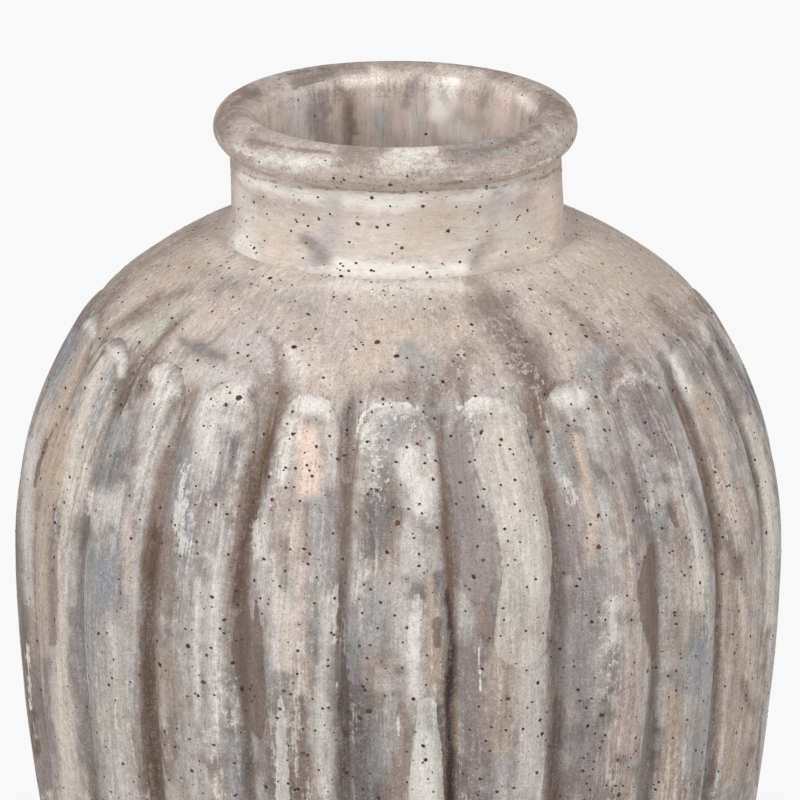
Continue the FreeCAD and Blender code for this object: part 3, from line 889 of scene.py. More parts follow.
        ("slate", 5, 0.65, (668, 500, 3), (664, 540, 3)),
        ("slate", 5, 0.65, (692, 480, 3), (705, 522, 3), (712, 565, 3)),
        ("lilac", 6, 0.78, (668, 562, 6), (668, 602, 6)),
        ("pale", 5, 0.91, (662, 602, 3), (664, 665, 4)),
        ("mauve", 5, 0.65, (677, 612, 4), (679, 652, 4)),
        ("cream", 7, 0.91, (700, 562, 8), (698, 602, 8)),
        ("blue", 8, 0.78, (700, 642, 11), (695, 685, 11)),
        ("ochre", 7, 0.78, (672, 700, 7), (673, 742, 8), (668, 795, 11)),
        ("grey", 9, 0.78, (702, 702, 11), (700, 765, 11)),
        ("pale", 5, 0.78, (660, 690, 4), (662, 722, 3)),
        ("taupe", 4, 0.91, (672, 388, 2), (692, 432, 3), (706, 482, 3), (714, 540, 3), (718, 600, 2),
            (719, 700, 2), (712, 790, 3)),
        # Right limb
        ("white", 6, 0.72, (671, 360, 6), (679, 374, 6), (690, 397, 5)),
        ("beige", 8, 0.91, (700, 400, 9), (722, 455, 9), (737, 525, 9)),
        ("cream", 6, 0.65, (716, 420, 5), (728, 470, 4), (738, 545, 5)),
        ("blue", 5, 0.65, (730, 450, 4), (735, 486, 4)),
        ("peach", 5, 0.5, (723, 555, 4), (728, 612, 5), (724, 690, 4), (722, 752, 5)),
        ("beige", 8, 0.98, (742, 602, 9), (744, 690, 11), (732, 770, 13)),
        ("cream", 5, 0.65, (738, 582, 4), (748, 642, 4), (752, 742, 4)),
        ("ochre", 5, 0.65, (748, 560, 4), (757, 602, 4)),
        ("taupe", 5, 0.78, (743, 682, 5), (752, 712, 3)),
        ("white", 5, 0.56, (699, 322, 4), (706, 345, 4)),
        ("bone", 6, 1, (750, 420, 5), (765, 472, 6), (772, 545, 7), (770, 620, 7)),
        ("lilac", 5, 0.91, (771, 640, 4), (766, 722, 4), (756, 795, 5)),
    ),
    ("body", "wash"): (
        ("white", 8, 0.5, (208, 408, 9), (206, 450, 9)),
        ("white", 6, 0.6, (286, 440, 4), (282, 480, 4)),
        ("white", 7, 0.6, (416, 486, 7), (418, 508, 8)),
        ("sage", 10, 0.5, (108, 640, 12), (108, 740, 14)),
        ("grey", 10, 0.5, (92, 600, 8), (96, 700, 10)),
        ("white", 7, 0.5, (292, 350, 6), (300, 372, 8)),
        ("cream", 8, 0.6, (312, 352, 10), (325, 375, 10)),
        # White paint and a painted highlight along a lobe tip's top edge
        ("white", 4, 0.5, (612, 398, 1), (618, 383, 2), (634, 375, 2), (652, 380, 2), (663, 394, 1)),
        # Broad shades over the lobes' lower halves
        ("slate", 12, 0.5, (352, 650, 8), (356, 720, 16), (358, 800, 18)),
        ("mauve", 16, 0.5, (575, 560, 14), (578, 680, 18), (585, 800, 20)),
        ("mauve", 12, 0.4, (466, 640, 10), (468, 800, 12)),
    ),
    ("body", "dry"): (
        ("slate", 7, 0.9, (374, 505, 10), (380, 540, 12)),
        ("white", 6, 0.8, (186, 470, 5), (180, 520, 6), (183, 550, 6)),
        ("taupe", 6, 0.9, (162, 470, 5), (158, 520, 6)),
        ("white", 5, 0.9, (255, 525, 4), (256, 555, 4)),
        ("white", 5, 0.8, (284, 440, 4), (276, 490, 4)),
        ("grey", 5, 0.9, (312, 500, 6), (316, 560, 8)),
        ("blue", 6, 0.8, (352, 620, 7), (352, 680, 8)),
        ("slate", 6, 0.9, (386, 470, 8), (388, 500, 10)),
        ("white", 6, 0.8, (418, 600, 6), (414, 660, 7)),
        ("grey", 7, 0.8, (392, 700, 8), (388, 760, 8)),
        ("white", 6, 0.8, (566, 480, 5), (574, 500, 5)),
        ("slate", 6, 0.8, (560, 520, 6), (566, 570, 7)),
        ("pale", 6, 0.8, (644, 470, 5), (652, 510, 5)),
        ("grey", 6, 0.8, (224, 430, 5), (228, 470, 6)),
        ("white", 5, 0.8, (217, 640, 3), (217, 720, 3), (217, 795, 3)),
        ("grey", 6, 0.8, (182, 730, 6), (180, 790, 6)),
        ("white", 5, 0.7, (335, 590, 4), (334, 640, 4)),
        ("taupe", 6, 0.8, (486, 300, 8), (520, 345, 10)),
        ("grey", 7, 0.8, (408, 350, 9), (428, 372, 10)),
        ("slate", 4, 0.9, (186, 344, 2), (204, 352, 4), (226, 358, 3)),
        ("slate", 4, 0.8, (240, 312, 1), (222, 332, 2), (204, 350, 2)),
        ("white", 6, 0.8, (90, 498, 5), (92, 515, 5)),
        ("slate", 6, 0.7, (84, 530, 5), (92, 560, 6)),
        ("pale", 6, 0.8, (690, 520, 4), (700, 560, 5)),
        ("slate", 5, 0.9, (38, 492, 1), (38, 508, 2)),
    ),
    ("body", "full"): (
        ("brown", 2, 1.0, (248, 604, 0.5), (243, 622, 9), (243, 650, 12), (250, 672, 14)),
        ("brown", 2, 1.0, (256, 600, 0.5), (257, 630, 5), (257, 690, 9), (256, 715, 11), (260, 738, 3)),
        ("brown", 2, 1.0, (250, 690, 7), (248, 708, 7)),
        ("brown", 2, 1.0, (669, 503, 1.5), (672, 514, 4), (676, 525, 2.5)),
        # White paint and a painted highlight along the front lobes' tips' top edges
        ("white", 2.5, 0.8, (357, 432, 1.5), (362, 416, 2), (374, 406, 2.5), (394, 403, 3), (414, 406, 2.5),
            (428, 418, 2)),
        ("white", 2.5, 0.7, (458, 408, 2), (475, 400, 3), (500, 398, 3), (520, 408, 2)),
        ("brown", 3, 1.0, (56, 424, 1), (47, 442, 2), (39, 466, 2), (35, 486, 1)),
        ("brown", 3, 0.8, (110, 412, 1), (99, 438, 2), (90, 462, 1)),
        ("taupe", 4, 1.0, (52, 540, 3), (54, 600, 4), (54, 642, 3)),
        ("purple", 4, 1.0, (33, 668, 1), (40, 702, 6), (46, 732, 5), (47, 785, 5)),
        ("white", 3, 1.0, (27, 645, 1.5), (31, 708, 1.5)),
        ("brown", 4, 1.0, (652, 545, 3), (646, 582, 9), (650, 614, 8), (653, 655, 4)),
        ("slate", 3, 1.0, (650, 690, 1.5), (646, 740, 2), (640, 800, 3.5)),
        ("pale", 3, 1.0, (280, 700, 3), (282, 745, 6), (283, 800, 7)),
        ("brown", 4, 0.9, (437, 622, 5), (438, 645, 4)),
        ("taupe", 3, 1.0, (403, 706, 4), (408, 728, 4), (405, 772, 4)),
        ("white", 4, 1.0, (300, 404, 8), (322, 404, 8)),
        ("mauve", 3, 1.0, (456, 440, 8), (461, 480, 12), (474, 525, 18), (480, 560, 19), (478, 592, 12)),
        ("taupe", 3, 1.0, (488, 598, 4), (486, 628, 6)),
        ("white", 2, 1.0, (479, 648, 1), (481, 690, 1.5)),
        ("white", 2, 1.0, (522, 732, 1), (522, 756, 1)),
        ("white", 2, 1.0, (398, 716, 1), (399, 736, 1)),
        ("brown", 3, 0.8, (342, 552, 2), (346, 520, 2)),
        ("taupe", 2, 0.9, (764, 645, 1), (762, 700, 1), (756, 785, 1.5)),
        ("taupe", 3, 0.8, (204, 302, 0.5), (182, 318, 1), (162, 338, 1.5), (146, 360, 2)),
        ("brown", 3, 0.7, (118, 362, 0.5), (104, 350, 2), (92, 368, 3), (80, 384, 2)),
    ),
    ("body", "late"): (
        ("white", 2, 1.0, (427, 706, 9), (428, 745, 14), (426, 800, 18)),
        ("bone", 2, 1.0, (505, 432, 22), (504, 460, 30), (511, 480, 28), (519, 510, 26), (526, 540, 25),
            (528, 570, 24), (524, 600, 26), (521, 640, 27)),
        ("bone", 2, 0.9, (500, 412, 14), (518, 418, 9)),
        ("taupe", 2, 1.0, (88, 768, 3), (93, 780, 4), (100, 800, 3)),
        ("taupe", 2, 1.0, (77, 744, 1.5), (82, 762, 1.5)),
        ("white", 1.5, 1.0, (338, 676, 0.8), (337, 685, 1.2), (338, 697, 0.8)),
        ("brown", 1.5, 1.0, (330, 440, 0.5), (331, 450, 0.8)),
    ),
    ("body", "scumble"): (
        (None, 10, 0.8, (364, 445, 9), (370, 424, 7), (394, 415, 7), (418, 424, 7)),
        (None, 14, 0.7, (376, 460, 16), (372, 490, 12)),
        (None, 12, 0.6, (414, 460, 12), (424, 520, 12)),
        (None, 9, 0.6, (467, 413, 6), (495, 410, 7), (518, 424, 7)),
        (None, 10, 0.7, (162, 372, 8), (172, 392, 8)),
        (None, 10, 0.7, (183, 470, 7), (180, 540, 8)),
        (None, 8, 0.7, (290, 425, 5), (276, 480, 5), (258, 545, 5)),
        (None, 8, 0.7, (90, 495, 6), (100, 515, 6)),
        (None, 8, 0.6, (620, 385, 4), (642, 374, 4), (660, 384, 4)),
        (None, 10, 0.6, (540, 300, 10), (500, 320, 10), (520, 370, 14)),
        (None, 10, 0.5, (420, 352, 12), (440, 378, 10)),
        (None, 10, 0.5, (236, 680, 8), (236, 720, 8)),
        (None, 10, 0.5, (612, 600, 8), (600, 700, 10)),
    ),
    ("body", "grime"): (
        (None, 12, 0.6, (410, 352, 12), (436, 372, 12)),
        (None, 14, 0.6, (490, 300, 16), (530, 360, 20)),
        (None, 12, 0.6, (360, 470, 12), (368, 540, 14)),
        (None, 12, 0.5, (456, 440, 10), (470, 500, 12)),
        (None, 12, 0.5, (165, 470, 10), (170, 560, 10)),
        (None, 12, 0.5, (360, 650, 14), (360, 780, 16)),
        (None, 10, 0.5, (660, 400, 12), (668, 450, 8)),
        (None, 12, 0.4, (560, 560, 10), (560, 700, 10)),
        (None, 12, 0.4, (600, 700, 14), (590, 780, 14)),
        (None, 8, 0.5, (206, 350, 10), (222, 358, 8)),
    ),
    ("neck", "wash"): (
        ("cream", 20, 0.91, (260, 240, 30), (330, 245, 30), (440, 245, 30), (520, 240, 30)),
        ("white", 7, 0.98, (242, 176, 6), (290, 194, 6), (380, 203, 7), (460, 199, 6), (518, 186, 5)),
        # White paint and a painted highlight down the neck's left side
        ("white", 9, 0.65, (240, 190, 7), (246, 215, 9), (250, 262, 8)),
        ("lilac", 8, 1, (332, 202, 8), (330, 232, 9), (320, 262, 11)),
        ("mauve", 7, 0.85, (306, 240, 6), (322, 256, 8)),
        ("peach", 10, 0.6, (270, 232, 12), (290, 255, 12)),
        ("lilac", 8, 0.85, (500, 192, 8), (494, 212, 6)),
        ("sand", 12, 0.78, (440, 216, 22), (420, 232, 16)),
        ("peach", 10, 0.95, (546, 190, 13), (548, 230, 12)),
        ("peach", 8, 0.7, (532, 244, 8), (545, 252, 8)),
        # Painted highlight on the neck's left side, and below it round the neck's foot, where it turns up into the dome
        ("white", 7, 1, (240, 240, 8)),
        ("white", 7, 1, (342, 266, 8), (390, 272, 5), (440, 270, 6), (462, 266, 8)),
        ("taupe", 9, 0.45, (490, 238, 6), (476, 262, 8)),
        ("beige", 8, 0.65, (500, 270, 8), (520, 262, 6)),
    ),
    ("neck", "full"): (
        # Painted shadow along the neck's top, under the rolled rim
        ("taupe", 3, 0.8, (231, 166, 1.5), (256, 178, 2), (300, 187, 2), (400, 191, 2.2), (500, 187, 2),
            (545, 177, 2), (563, 164, 1.5)),
    ),
    ("neck", "dry"): (
        ("lilac", 6, 0.7, (336, 200, 5), (332, 235, 6)),
        ("lilac", 6, 0.7, (498, 190, 5), (492, 215, 5)),
        ("mauve", 7, 0.5, (304, 240, 5), (318, 258, 8)),
        ("grey", 5, 0.7, (478, 250, 5), (472, 266, 5)),
        # Painted highlight round the neck's foot
        ("white", 6, 0.7, (300, 270, 5), (440, 274, 4)),
    ),
    ("neck", "grime"): (
        (None, 8, 0.5, (476, 252, 6), (474, 268, 6)),
        (None, 8, 0.5, (306, 240, 6), (322, 258, 8)),
    ),
    ("rim", "wash"): (
        ("taupe", 9, 0.72, (250, 92, 8), (226, 112, 9), (224, 132, 8)),
        ("taupe", 8, 0.59, (300, 80, 8), (340, 68, 6), (400, 62, 5), (460, 64, 5), (520, 78, 6)),
        # White paint and a painted highlight on the roll's front left
        ("white", 7, 0.91, (262, 158, 7), (292, 163, 8), (325, 162, 5)),
        ("taupe", 8, 0.65, (342, 158, 8), (372, 156, 8)),
        ("cream", 8, 1, (392, 160, 14), (430, 158, 14)),
        ("grey", 9, 0.65, (462, 155, 12), (510, 148, 10)),
        ("taupe", 7, 0.59, (546, 98, 7), (562, 115, 7)),
        ("lilac", 8, 0.52, (560, 132, 8), (552, 148, 7)),
        ("beige", 8, 0.78, (300, 184, 6), (380, 190, 6), (480, 184, 5), (545, 160, 5)),
        ("pink", 7, 0.52, (470, 172, 7), (520, 162, 6)),
        ("cream", 5, 1, (372, 68, 4), (380, 72, 4)),
        ("cream", 5, 0.91, (440, 68, 4), (480, 74, 4)),
    ),
    ("rim", "full"): (
        ("taupe", 5, 0.7, (222, 140, 3), (216, 122, 5), (224, 104, 5), (246, 88, 4)),
        ("taupe", 4, 0.7, (250, 140, 3), (285, 148, 4), (330, 153, 3)),
        ("dusk", 4, 0.6, (262, 82, 2), (300, 72, 3), (350, 65, 2)),
        ("taupe", 5, 0.7, (448, 150, 4), (490, 150, 5), (530, 136, 4)),
        ("dusk", 4, 0.6, (470, 164, 2), (510, 154, 3), (545, 138, 2)),
        ("taupe", 4, 0.7, (540, 92, 3), (562, 106, 4), (570, 124, 3)),
        # Painted shadow on the roll's underside, where it meets the neck
        ("taupe", 4, 0.7, (300, 178, 2), (380, 186, 2), (470, 182, 2)),
        # White paint and a painted highlight on the roll's front left
        ("white", 3, 0.8, (250, 156, 2), (290, 166, 2), (330, 168, 1.5)),
        # White paint and a painted highlight on the roll's front
        ("white", 3, 0.7, (396, 150, 4), (436, 150, 4)),
        ("white", 3, 0.7, (490, 178, 1.5), (530, 168, 2), (556, 156, 1.5)),
    ),
    ("rim", "dry"): (
        # White paint and a painted highlight on the roll's front left
        ("white", 4, 0.9, (236, 146, 3), (262, 160, 3)),
        ("dusk", 4, 0.9, (232, 104, 3), (256, 92, 4)),
        ("dusk", 4, 0.9, (510, 140, 3), (540, 126, 4)),
        ("taupe", 6, 0.9, (252, 140, 5), (262, 146, 4)),
        ("taupe", 6, 0.8, (440, 152, 5), (470, 158, 6), (490, 150, 6)),
        ("slate", 5, 0.7, (296, 84, 5), (330, 73, 4)),
        ("slate", 5, 0.7, (530, 120, 5), (545, 105, 5)),
        ("taupe", 6, 0.8, (350, 152, 5), (380, 150, 5)),
        # White paint and a painted highlight on the roll's front
        ("white", 5, 0.8, (400, 152, 6), (420, 156, 6)),
    ),
    ("rim", "grime"): (
        (None, 10, 0.5, (262, 146, 10), (330, 160, 8)),
        (None, 10, 0.6, (460, 156, 12), (510, 146, 10)),
        (None, 10, 0.5, (230, 118, 8), (280, 86, 6), (340, 70, 5)),
        (None, 10, 0.4, (350, 184, 8), (450, 184, 8)),
        (None, 10, 0.5, (540, 104, 8), (500, 78, 6)),
    ),
    ("inside", "wash"): (
        ("ochre", 5, 0.78, (256, 106, 4), (260, 120, 4)),
        ("peach", 6, 0.5, (270, 108, 7), (278, 122, 7)),
        ("lilac", 8, 0.98, (296, 100, 11), (302, 130, 11)),
        ("mauve", 7, 1, (322, 92, 7), (316, 115, 9), (322, 138, 9)),
        ("brown", 7, 0.72, (350, 100, 6), (350, 122, 9), (350, 142, 7)),
        ("taupe", 8, 0.65, (338, 92, 8)),
        ("cream", 6, 0.98, (346, 80, 6), (372, 75, 12)),
        ("lilac", 8, 0.65, (376, 100, 9)),
        ("grey", 8, 0.78, (380, 118, 11), (386, 136, 11)),
        ("mauve", 5, 1, (420, 70, 4), (411, 86, 5), (405, 105, 5)),
        ("lilac", 6, 0.91, (418, 112, 7), (410, 132, 7)),
        ("white", 8, 1, (440, 92, 10), (452, 82, 8), (440, 112, 10)),
        ("pale", 8, 0.78, (450, 128, 10), (470, 138, 8)),
        ("sand", 7, 0.78, (468, 92, 7), (470, 112, 7)),
        ("taupe", 6, 0.65, (490, 88, 6), (484, 104, 5)),
        ("pink", 7, 1, (504, 102, 8), (500, 124, 8)),
        ("cream", 6, 0.78, (522, 96, 6), (528, 108, 5)),
    ),
    ("inside", "dry"): (
        ("mauve", 5, 0.8, (322, 96, 5), (326, 112, 6)),
        ("taupe", 5, 0.8, (350, 110, 5), (352, 130, 6)),
        ("white", 5, 0.8, (440, 86, 6), (446, 100, 6)),
        ("slate", 4, 0.7, (408, 80, 3), (404, 100, 3)),
    ),
    ("inside", "grime"): (
        (None, 8, 0.5, (322, 120, 10), (350, 130, 8)),
        (None, 8, 0.4, (488, 92, 8), (486, 110, 6)),
    ),
}

# Iron specks named in the photograph: x, y and radius in its pixels
NAMED_SPECKS = (
    (390, 185, 2.2), (344, 180, 1.6), (341, 182, 1.2), (361, 177, 1.6), (407, 176, 1.4), (421, 192, 1.5), (427, 193, 1.2),
    (372, 198, 1.8), (487, 186, 1.4), (252, 130, 1.4), (426, 134, 1.5), (315, 116, 1.3), (298, 100, 1.3), (522, 95, 1.2),
    (358, 224, 2.4), (423, 206, 1.8), (448, 231, 2.2), (402, 248, 2), (377, 227, 1.7), (388, 225, 1.5), (349, 242, 1.6),
    (330, 214, 1.6), (319, 219, 1.6), (308, 226, 1.6), (297, 222, 1.4), (291, 231, 1.6), (267, 214, 1.5), (254, 202, 1.5),
    (249, 181, 1.2), (247, 237, 1.6), (256, 253, 1.6), (306, 243, 1.4), (480, 207, 1.5), (478, 213, 1.4), (517, 220, 1.4),
    (512, 203, 1.2), (540, 242, 1.4), (528, 248, 1.4), (506, 252, 1.4), (460, 262, 1.5), (356, 263, 1.6), (349, 271, 1.7),
    (374, 271, 1.5), (341, 277, 2.4), (270, 278, 2.2), (430, 277, 1.7), (371, 282, 1.4), (221, 266, 1.6), (229, 268, 1.6),
    (251, 284, 1.6), (530, 289, 2.2), (401, 288, 1.4), (555, 273, 1.4), (233, 297, 1.5), (334, 297, 1.6), (349, 299, 1.6),
    (275, 290, 1.3), (294, 347, 3), (248, 345, 1.6), (238, 353, 1.8), (284, 355, 1.4), (198, 360, 1.5), (277, 393, 1.7),
    (239, 309, 1.4), (291, 331, 1.3), (290, 302, 1.2), (295, 301, 1.3), (309, 365, 1.4), (309, 339, 1.3), (316, 329, 1.5),
    (308, 314, 1.5), (85, 388, 2), (154, 404, 1.5), (123, 407, 1.5), (168, 382, 1.4), (377, 342, 2.6), (396, 356, 2.8),
    (422, 367, 2.2), (443, 382, 2.2), (433, 375, 1.5), (356, 349, 1.8), (363, 345, 1.4), (383, 399, 1.8), (503, 388, 1.8),
    (475, 396, 1.7), (582, 325, 2.2), (587, 308, 1.4), (550, 314, 1.4), (664, 335, 2), (678, 340, 1.8), (640, 313, 1.3),
    (430, 299, 1.6), (346, 312, 1.5), (571, 290, 1.3), (585, 294, 1.5), (385, 295, 1.3), (395, 307, 1.3), (458, 326, 1.4),
    (473, 331, 1.3), (458, 355, 1.5), (464, 355, 1.3), (618, 345, 1.4), (572, 378, 1.3), (703, 374, 1.5), (710, 394, 2),
    (727, 405, 1.8), (686, 388, 1.5), (239, 398, 3), (226, 405, 2), (211, 399, 1.4), (230, 393, 1.4), (227, 387, 1.4),
    (222, 383, 1.3), (204, 426, 1.4), (272, 500, 2.2), (264, 559, 2.2), (216, 505, 1.8), (196, 486, 1.4), (227, 514, 1.6),
    (209, 522, 1.5), (293, 434, 1.8), (338, 459, 2), (312, 476, 1.6), (307, 465, 1.4), (294, 487, 1.4), (300, 501, 1.4),
    (304, 549, 2), (308, 564, 1.6), (285, 571, 1.3), (162, 543, 1.8), (175, 525, 1.5), (188, 646, 2.5), (160, 665, 3),
    (203, 682, 2.5), (242, 689, 2.5), (250, 689, 1.8), (232, 663, 2), (262, 614, 1.5), (268, 604, 1.5), (298, 651, 1.8),
    (284, 691, 1.8), (280, 709, 1.8), (277, 718, 1.8), (331, 633, 1.5), (334, 635, 1.5), (343, 769, 2.2), (346, 772, 2.2),
    (319, 770, 1.5), (295, 790, 1.8), (298, 789, 1.8), (266, 787, 2), (248, 768, 1.2), (234, 763, 1.5), (214, 745, 2),
    (192, 771, 2.2), (181, 778, 1.4), (165, 745, 1.6), (175, 747, 2), (169, 780, 1.5), (212, 597, 2), (224, 620, 1.5),
    (236, 795, 1.5), (157, 641, 1.8), (155, 655, 1.4), (148, 705, 1.4), (328, 666, 1.6), (303, 729, 1.3), (98, 634, 1.8),
    (87, 707, 1.8), (41, 690, 1.8), (111, 792, 1.6), (59, 740, 1.2), (346, 734, 4), (369, 711, 2.6), (360, 718, 2.4),
    (365, 690, 1.8), (385, 696, 1.6), (367, 658, 1.6), (370, 645, 1.5), (362, 613, 1.5), (364, 585, 1.4), (359, 599, 1.3),
    (407, 628, 1.8), (402, 668, 1.5), (413, 699, 2), (426, 685, 1.4), (423, 746, 2.2), (426, 760, 2), (407, 782, 1.4),
    (379, 798, 2), (428, 779, 1.4), (361, 402, 1.4), (407, 447, 1.6), (425, 463, 1.7), (377, 490, 1.6), (368, 494, 1.4),
    (398, 523, 2.6), (387, 552, 2.4), (409, 509, 1.6), (420, 504, 1.4), (414, 538, 1.5), (356, 512, 1.4), (343, 559, 1.6),
    (419, 566, 1.4), (424, 573, 1.5), (460, 482, 2), (456, 504, 1.6), (447, 538, 1.8), (451, 436, 1.5), (474, 577, 2.2),
    (478, 497, 1.6), (484, 489, 1.5), (475, 460, 1.5), (491, 414, 1.4), (515, 480, 1.7), (501, 485, 1.5), (510, 449, 1.4),
    (520, 511, 1.4), (534, 515, 1.4), (508, 541, 1.4), (515, 560, 1.4), (508, 565, 1.4), (527, 587, 1.3), (450, 605, 1.8),
    (503, 608, 1.6), (504, 620, 1.3), (508, 699, 2.6), (538, 683, 2.2), (532, 702, 1.6), (540, 720, 1.8), (542, 734, 2),
    (537, 773, 2), (523, 729, 1.6), (506, 730, 1.6), (486, 741, 1.8), (490, 751, 1.5), (480, 779, 1.8), (470, 730, 1.5),
    (497, 792, 1.8), (514, 788, 1.6), (549, 746, 1.8), (605, 430, 2.2), (571, 404, 1.5), (596, 397, 2), (599, 547, 2.5),
    (598, 517, 1.5), (606, 515, 1.4), (587, 538, 1.4), (564, 573, 1.6), (555, 463, 1.4), (613, 483, 1.4), (636, 508, 1.7),
    (652, 456, 1.5), (654, 433, 1.5), (704, 530, 1.6), (686, 538, 1.6), (673, 551, 1.5), (691, 567, 1.4), (700, 583, 2),
    (662, 528, 1.4), (758, 486, 1.4), (735, 558, 1.3), (592, 622, 2), (543, 633, 1.6), (551, 641, 2), (560, 649, 2),
    (578, 690, 1.8), (580, 701, 1.6), (602, 715, 2.6), (588, 726, 2), (605, 735, 1.7), (602, 741, 1.6), (636, 738, 1.8),
    (636, 751, 1.7), (618, 760, 2), (631, 758, 1.5), (583, 771, 1.8), (616, 786, 1.8), (619, 795, 2.5), (590, 790, 1.6),
    (588, 754, 1.4), (676, 624, 1.5), (704, 616, 1.4), (696, 656, 1.4), (681, 658, 1.3), (673, 738, 1.6), (704, 731, 1.5),
    (704, 745, 1.5), (696, 750, 2), (747, 765, 1.8), (739, 611, 1.6),
)
SMALL_SPECKS = 8000


HIDDEN = back_strokes()


def paint(piece, part, relief=None):
    """Lays the ground, the hidden sides' strokes and the seen sides' strokes on one piece."""
    if relief is None and part == "body":
        place = np.array([v.co for v in piece.data.vertices]) / METRE
        low = 1 - smoothstep(LOBE_TOP - 34, LOBE_TOP - 6, place[:, 2])
        relief = 0.5 - 0.4 * np.minimum(1, between_lobes(place, 6.0)) * low
    surface = Surface(piece, part, relief)
    surface.ground(GROUND_SEED)
    for coat, *stroke in HIDDEN:
        surface.stroke("back", coat, *stroke)
    for (where, coat), strokes in STROKES.items():
        for stroke in strokes:
            over_dome = where == "lobes" and stroke[0] in DARK_TONES
            surface.stroke("body" if over_dome else where, coat, *stroke)
    surface.store()


for name, piece in pieces.items():
    part = "neck" if name.startswith("neck") else "rim" if name.startswith("rim") else "body"
    paint(piece, part, reliefs.get(name))


# Specks
SPECK_SPREAD = 1.30  # a speck's size in the clay beside its named size


def plan_specks():
    """Iron specks as rays to cast and sizes: those named in the photograph, and small ones all round."""
    back = np.array((0, -math.cos(VIEW_ELEVATION), math.sin(VIEW_ELEVATION))) * VIEW_DISTANCE
    eye = np.array(VIEW_TARGET) + back
    right, up = np.array((1, 0, 0)), np.array((0, math.sin(VIEW_ELEVATION), math.cos(VIEW_ELEVATION)))
    pixel = SENSOR / LENS / IMAGE_SIZE
    found = []
    for x, y, size in NAMED_SPECKS:
        ray = -back / VIEW_DISTANCE + pixel * ((x - IMAGE_SIZE / 2) * right + (IMAGE_SIZE / 2 - y) * up)
        found.append((eye, ray / np.linalg.norm(ray), SPECK_SPREAD * size * VIEW_DISTANCE * pixel))
    pick = np.random.default_rng(SPECK_PLACE_SEED)
    for _ in range(SMALL_SPECKS):
        turn, s = pick.uniform(0, 2 * math.pi), pick.uniform(4, float(wall_s[-1]) + 50)
        if s < wall_s[-1]:
            radius, height, out, rise = (float(v) for v in at_length(s))
        else:
            radius, height, out, rise = NECK_RADIUS, BODY_HEIGHT + s - float(wall_s[-1]), 1.0, 0.1
        if pick.uniform() > (radius / BELLY_RADIUS):
            continue
        around = np.array((math.cos(turn), math.sin(turn), 0))
        direction = -(around * out + np.array((0, 0, rise)))
        direction /= np.linalg.norm(direction)
        start = around * radius + np.array((0, 0, height)) - direction * 40
        found.append((start, direction, 0.36 + 0.80 * pick.uniform() ** 2.2))
    for _ in range(SMALL_SPECKS // 70):
        turn, side = pick.uniform(0, 2 * math.pi), pick.uniform(-0.6, 1.2)
        around = np.array((math.cos(turn), math.sin(turn), 0))
        out = around * math.sin(side) + np.array((0, 0, math.cos(side)))
        middle = around * ROLL_RING_RADIUS + np.array((0, 0, ROLL_HEIGHT))
        found.append((middle + out * 40, -out, 0.26 + 0.6 * pick.uniform() ** 2.5))
    return found


def speck_piece(sides=6):
    """Low blobs of iron-stained slip, each a closed lens sunk into the skin."""
    bpy.context.view_layer.update()
    depsgraph = bpy.context.evaluated_depsgraph_get()
    pick = np.random.default_rng(SPECK_SHAPE_SEED)
    vertices, faces, tints = [], [], []
    spin_steps = np.arange(sides) / sides * 2 * math.pi
    for start, direction, size in plan_specks():
        ray = Vector(start * METRE), Vector(direction)
        hit, place, normal, _, thing, _ = bpy.context.scene.ray_cast(depsgraph, *ray)
        if not hit or thing.name not in pieces:
            continue
        place, normal = np.array(place) / METRE, np.array(normal)
        first = np.cross(normal, (0.31, 0.42, 0.85))
        first /= np.linalg.norm(first)
        second = np.cross(normal, first)
        turn = spin_steps + pick.uniform(0, 1)
        rough = size * pick.uniform(0.72, 1.22, sides)
        stretch = pick.uniform(0.7, 1.0)
        ring = np.outer(np.cos(turn) * rough, first) + np.outer(np.sin(turn) * rough * stretch, second)
        proud = 0.06 + 0.10 * min(size, 1.2)
        low = len(vertices)
        vertices += list(place + ring * 1.05 - normal * 0.10)
        vertices += list(place + ring * 0.62 + normal * proud * 0.8)
        vertices += [place - normal * 0.45, place + normal * proud]
        for i in range(sides):
            after = (i + 1) % sides
            faces.append((low + i, low + after, low + sides + after, low + sides + i))
            faces.append((low + sides + i, low + sides + after, low + 2 * sides + 1))
            faces.append((low + after, low + i, low + 2 * sides))
        tints += [pick.uniform()] * (2 * sides + 2)
    mesh = bpy.data.meshes.new("specks")
    mesh.from_pydata((np.array(vertices) * METRE).tolist(), [], faces)
    mesh.polygons.foreach_set("use_smooth", np.ones(len(mesh.polygons), bool))
    mesh.attributes.new("tint", "FLOAT", "POINT").data.foreach_set("value", np.array(tints, np.float32))
    piece = bpy.data.objects.new("specks", mesh)
    bpy.context.scene.collection.objects.link(piece)
    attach(piece, "root")
    return piece


specks = speck_piece()


# Materials
def nodes_of(name):
    material = bpy.data.materials.new(name)
    material.use_nodes = True
    tree = material.node_tree
    shader = tree.nodes["Principled BSDF"]

    def add(kind, inputs=(), output=0, **settings):
        node = tree.nodes.new("ShaderNode" + kind)
        for key, value in settings.items():
            setattr(node, key, value)
        for key, value in dict(inputs).items():
            if isinstance(value, bpy.types.NodeSocket):
                tree.links.new(value, node.inputs[key])
            else:
                node.inputs[key].default_value = value
        return node.outputs[output]

    return material, tree, shader, add


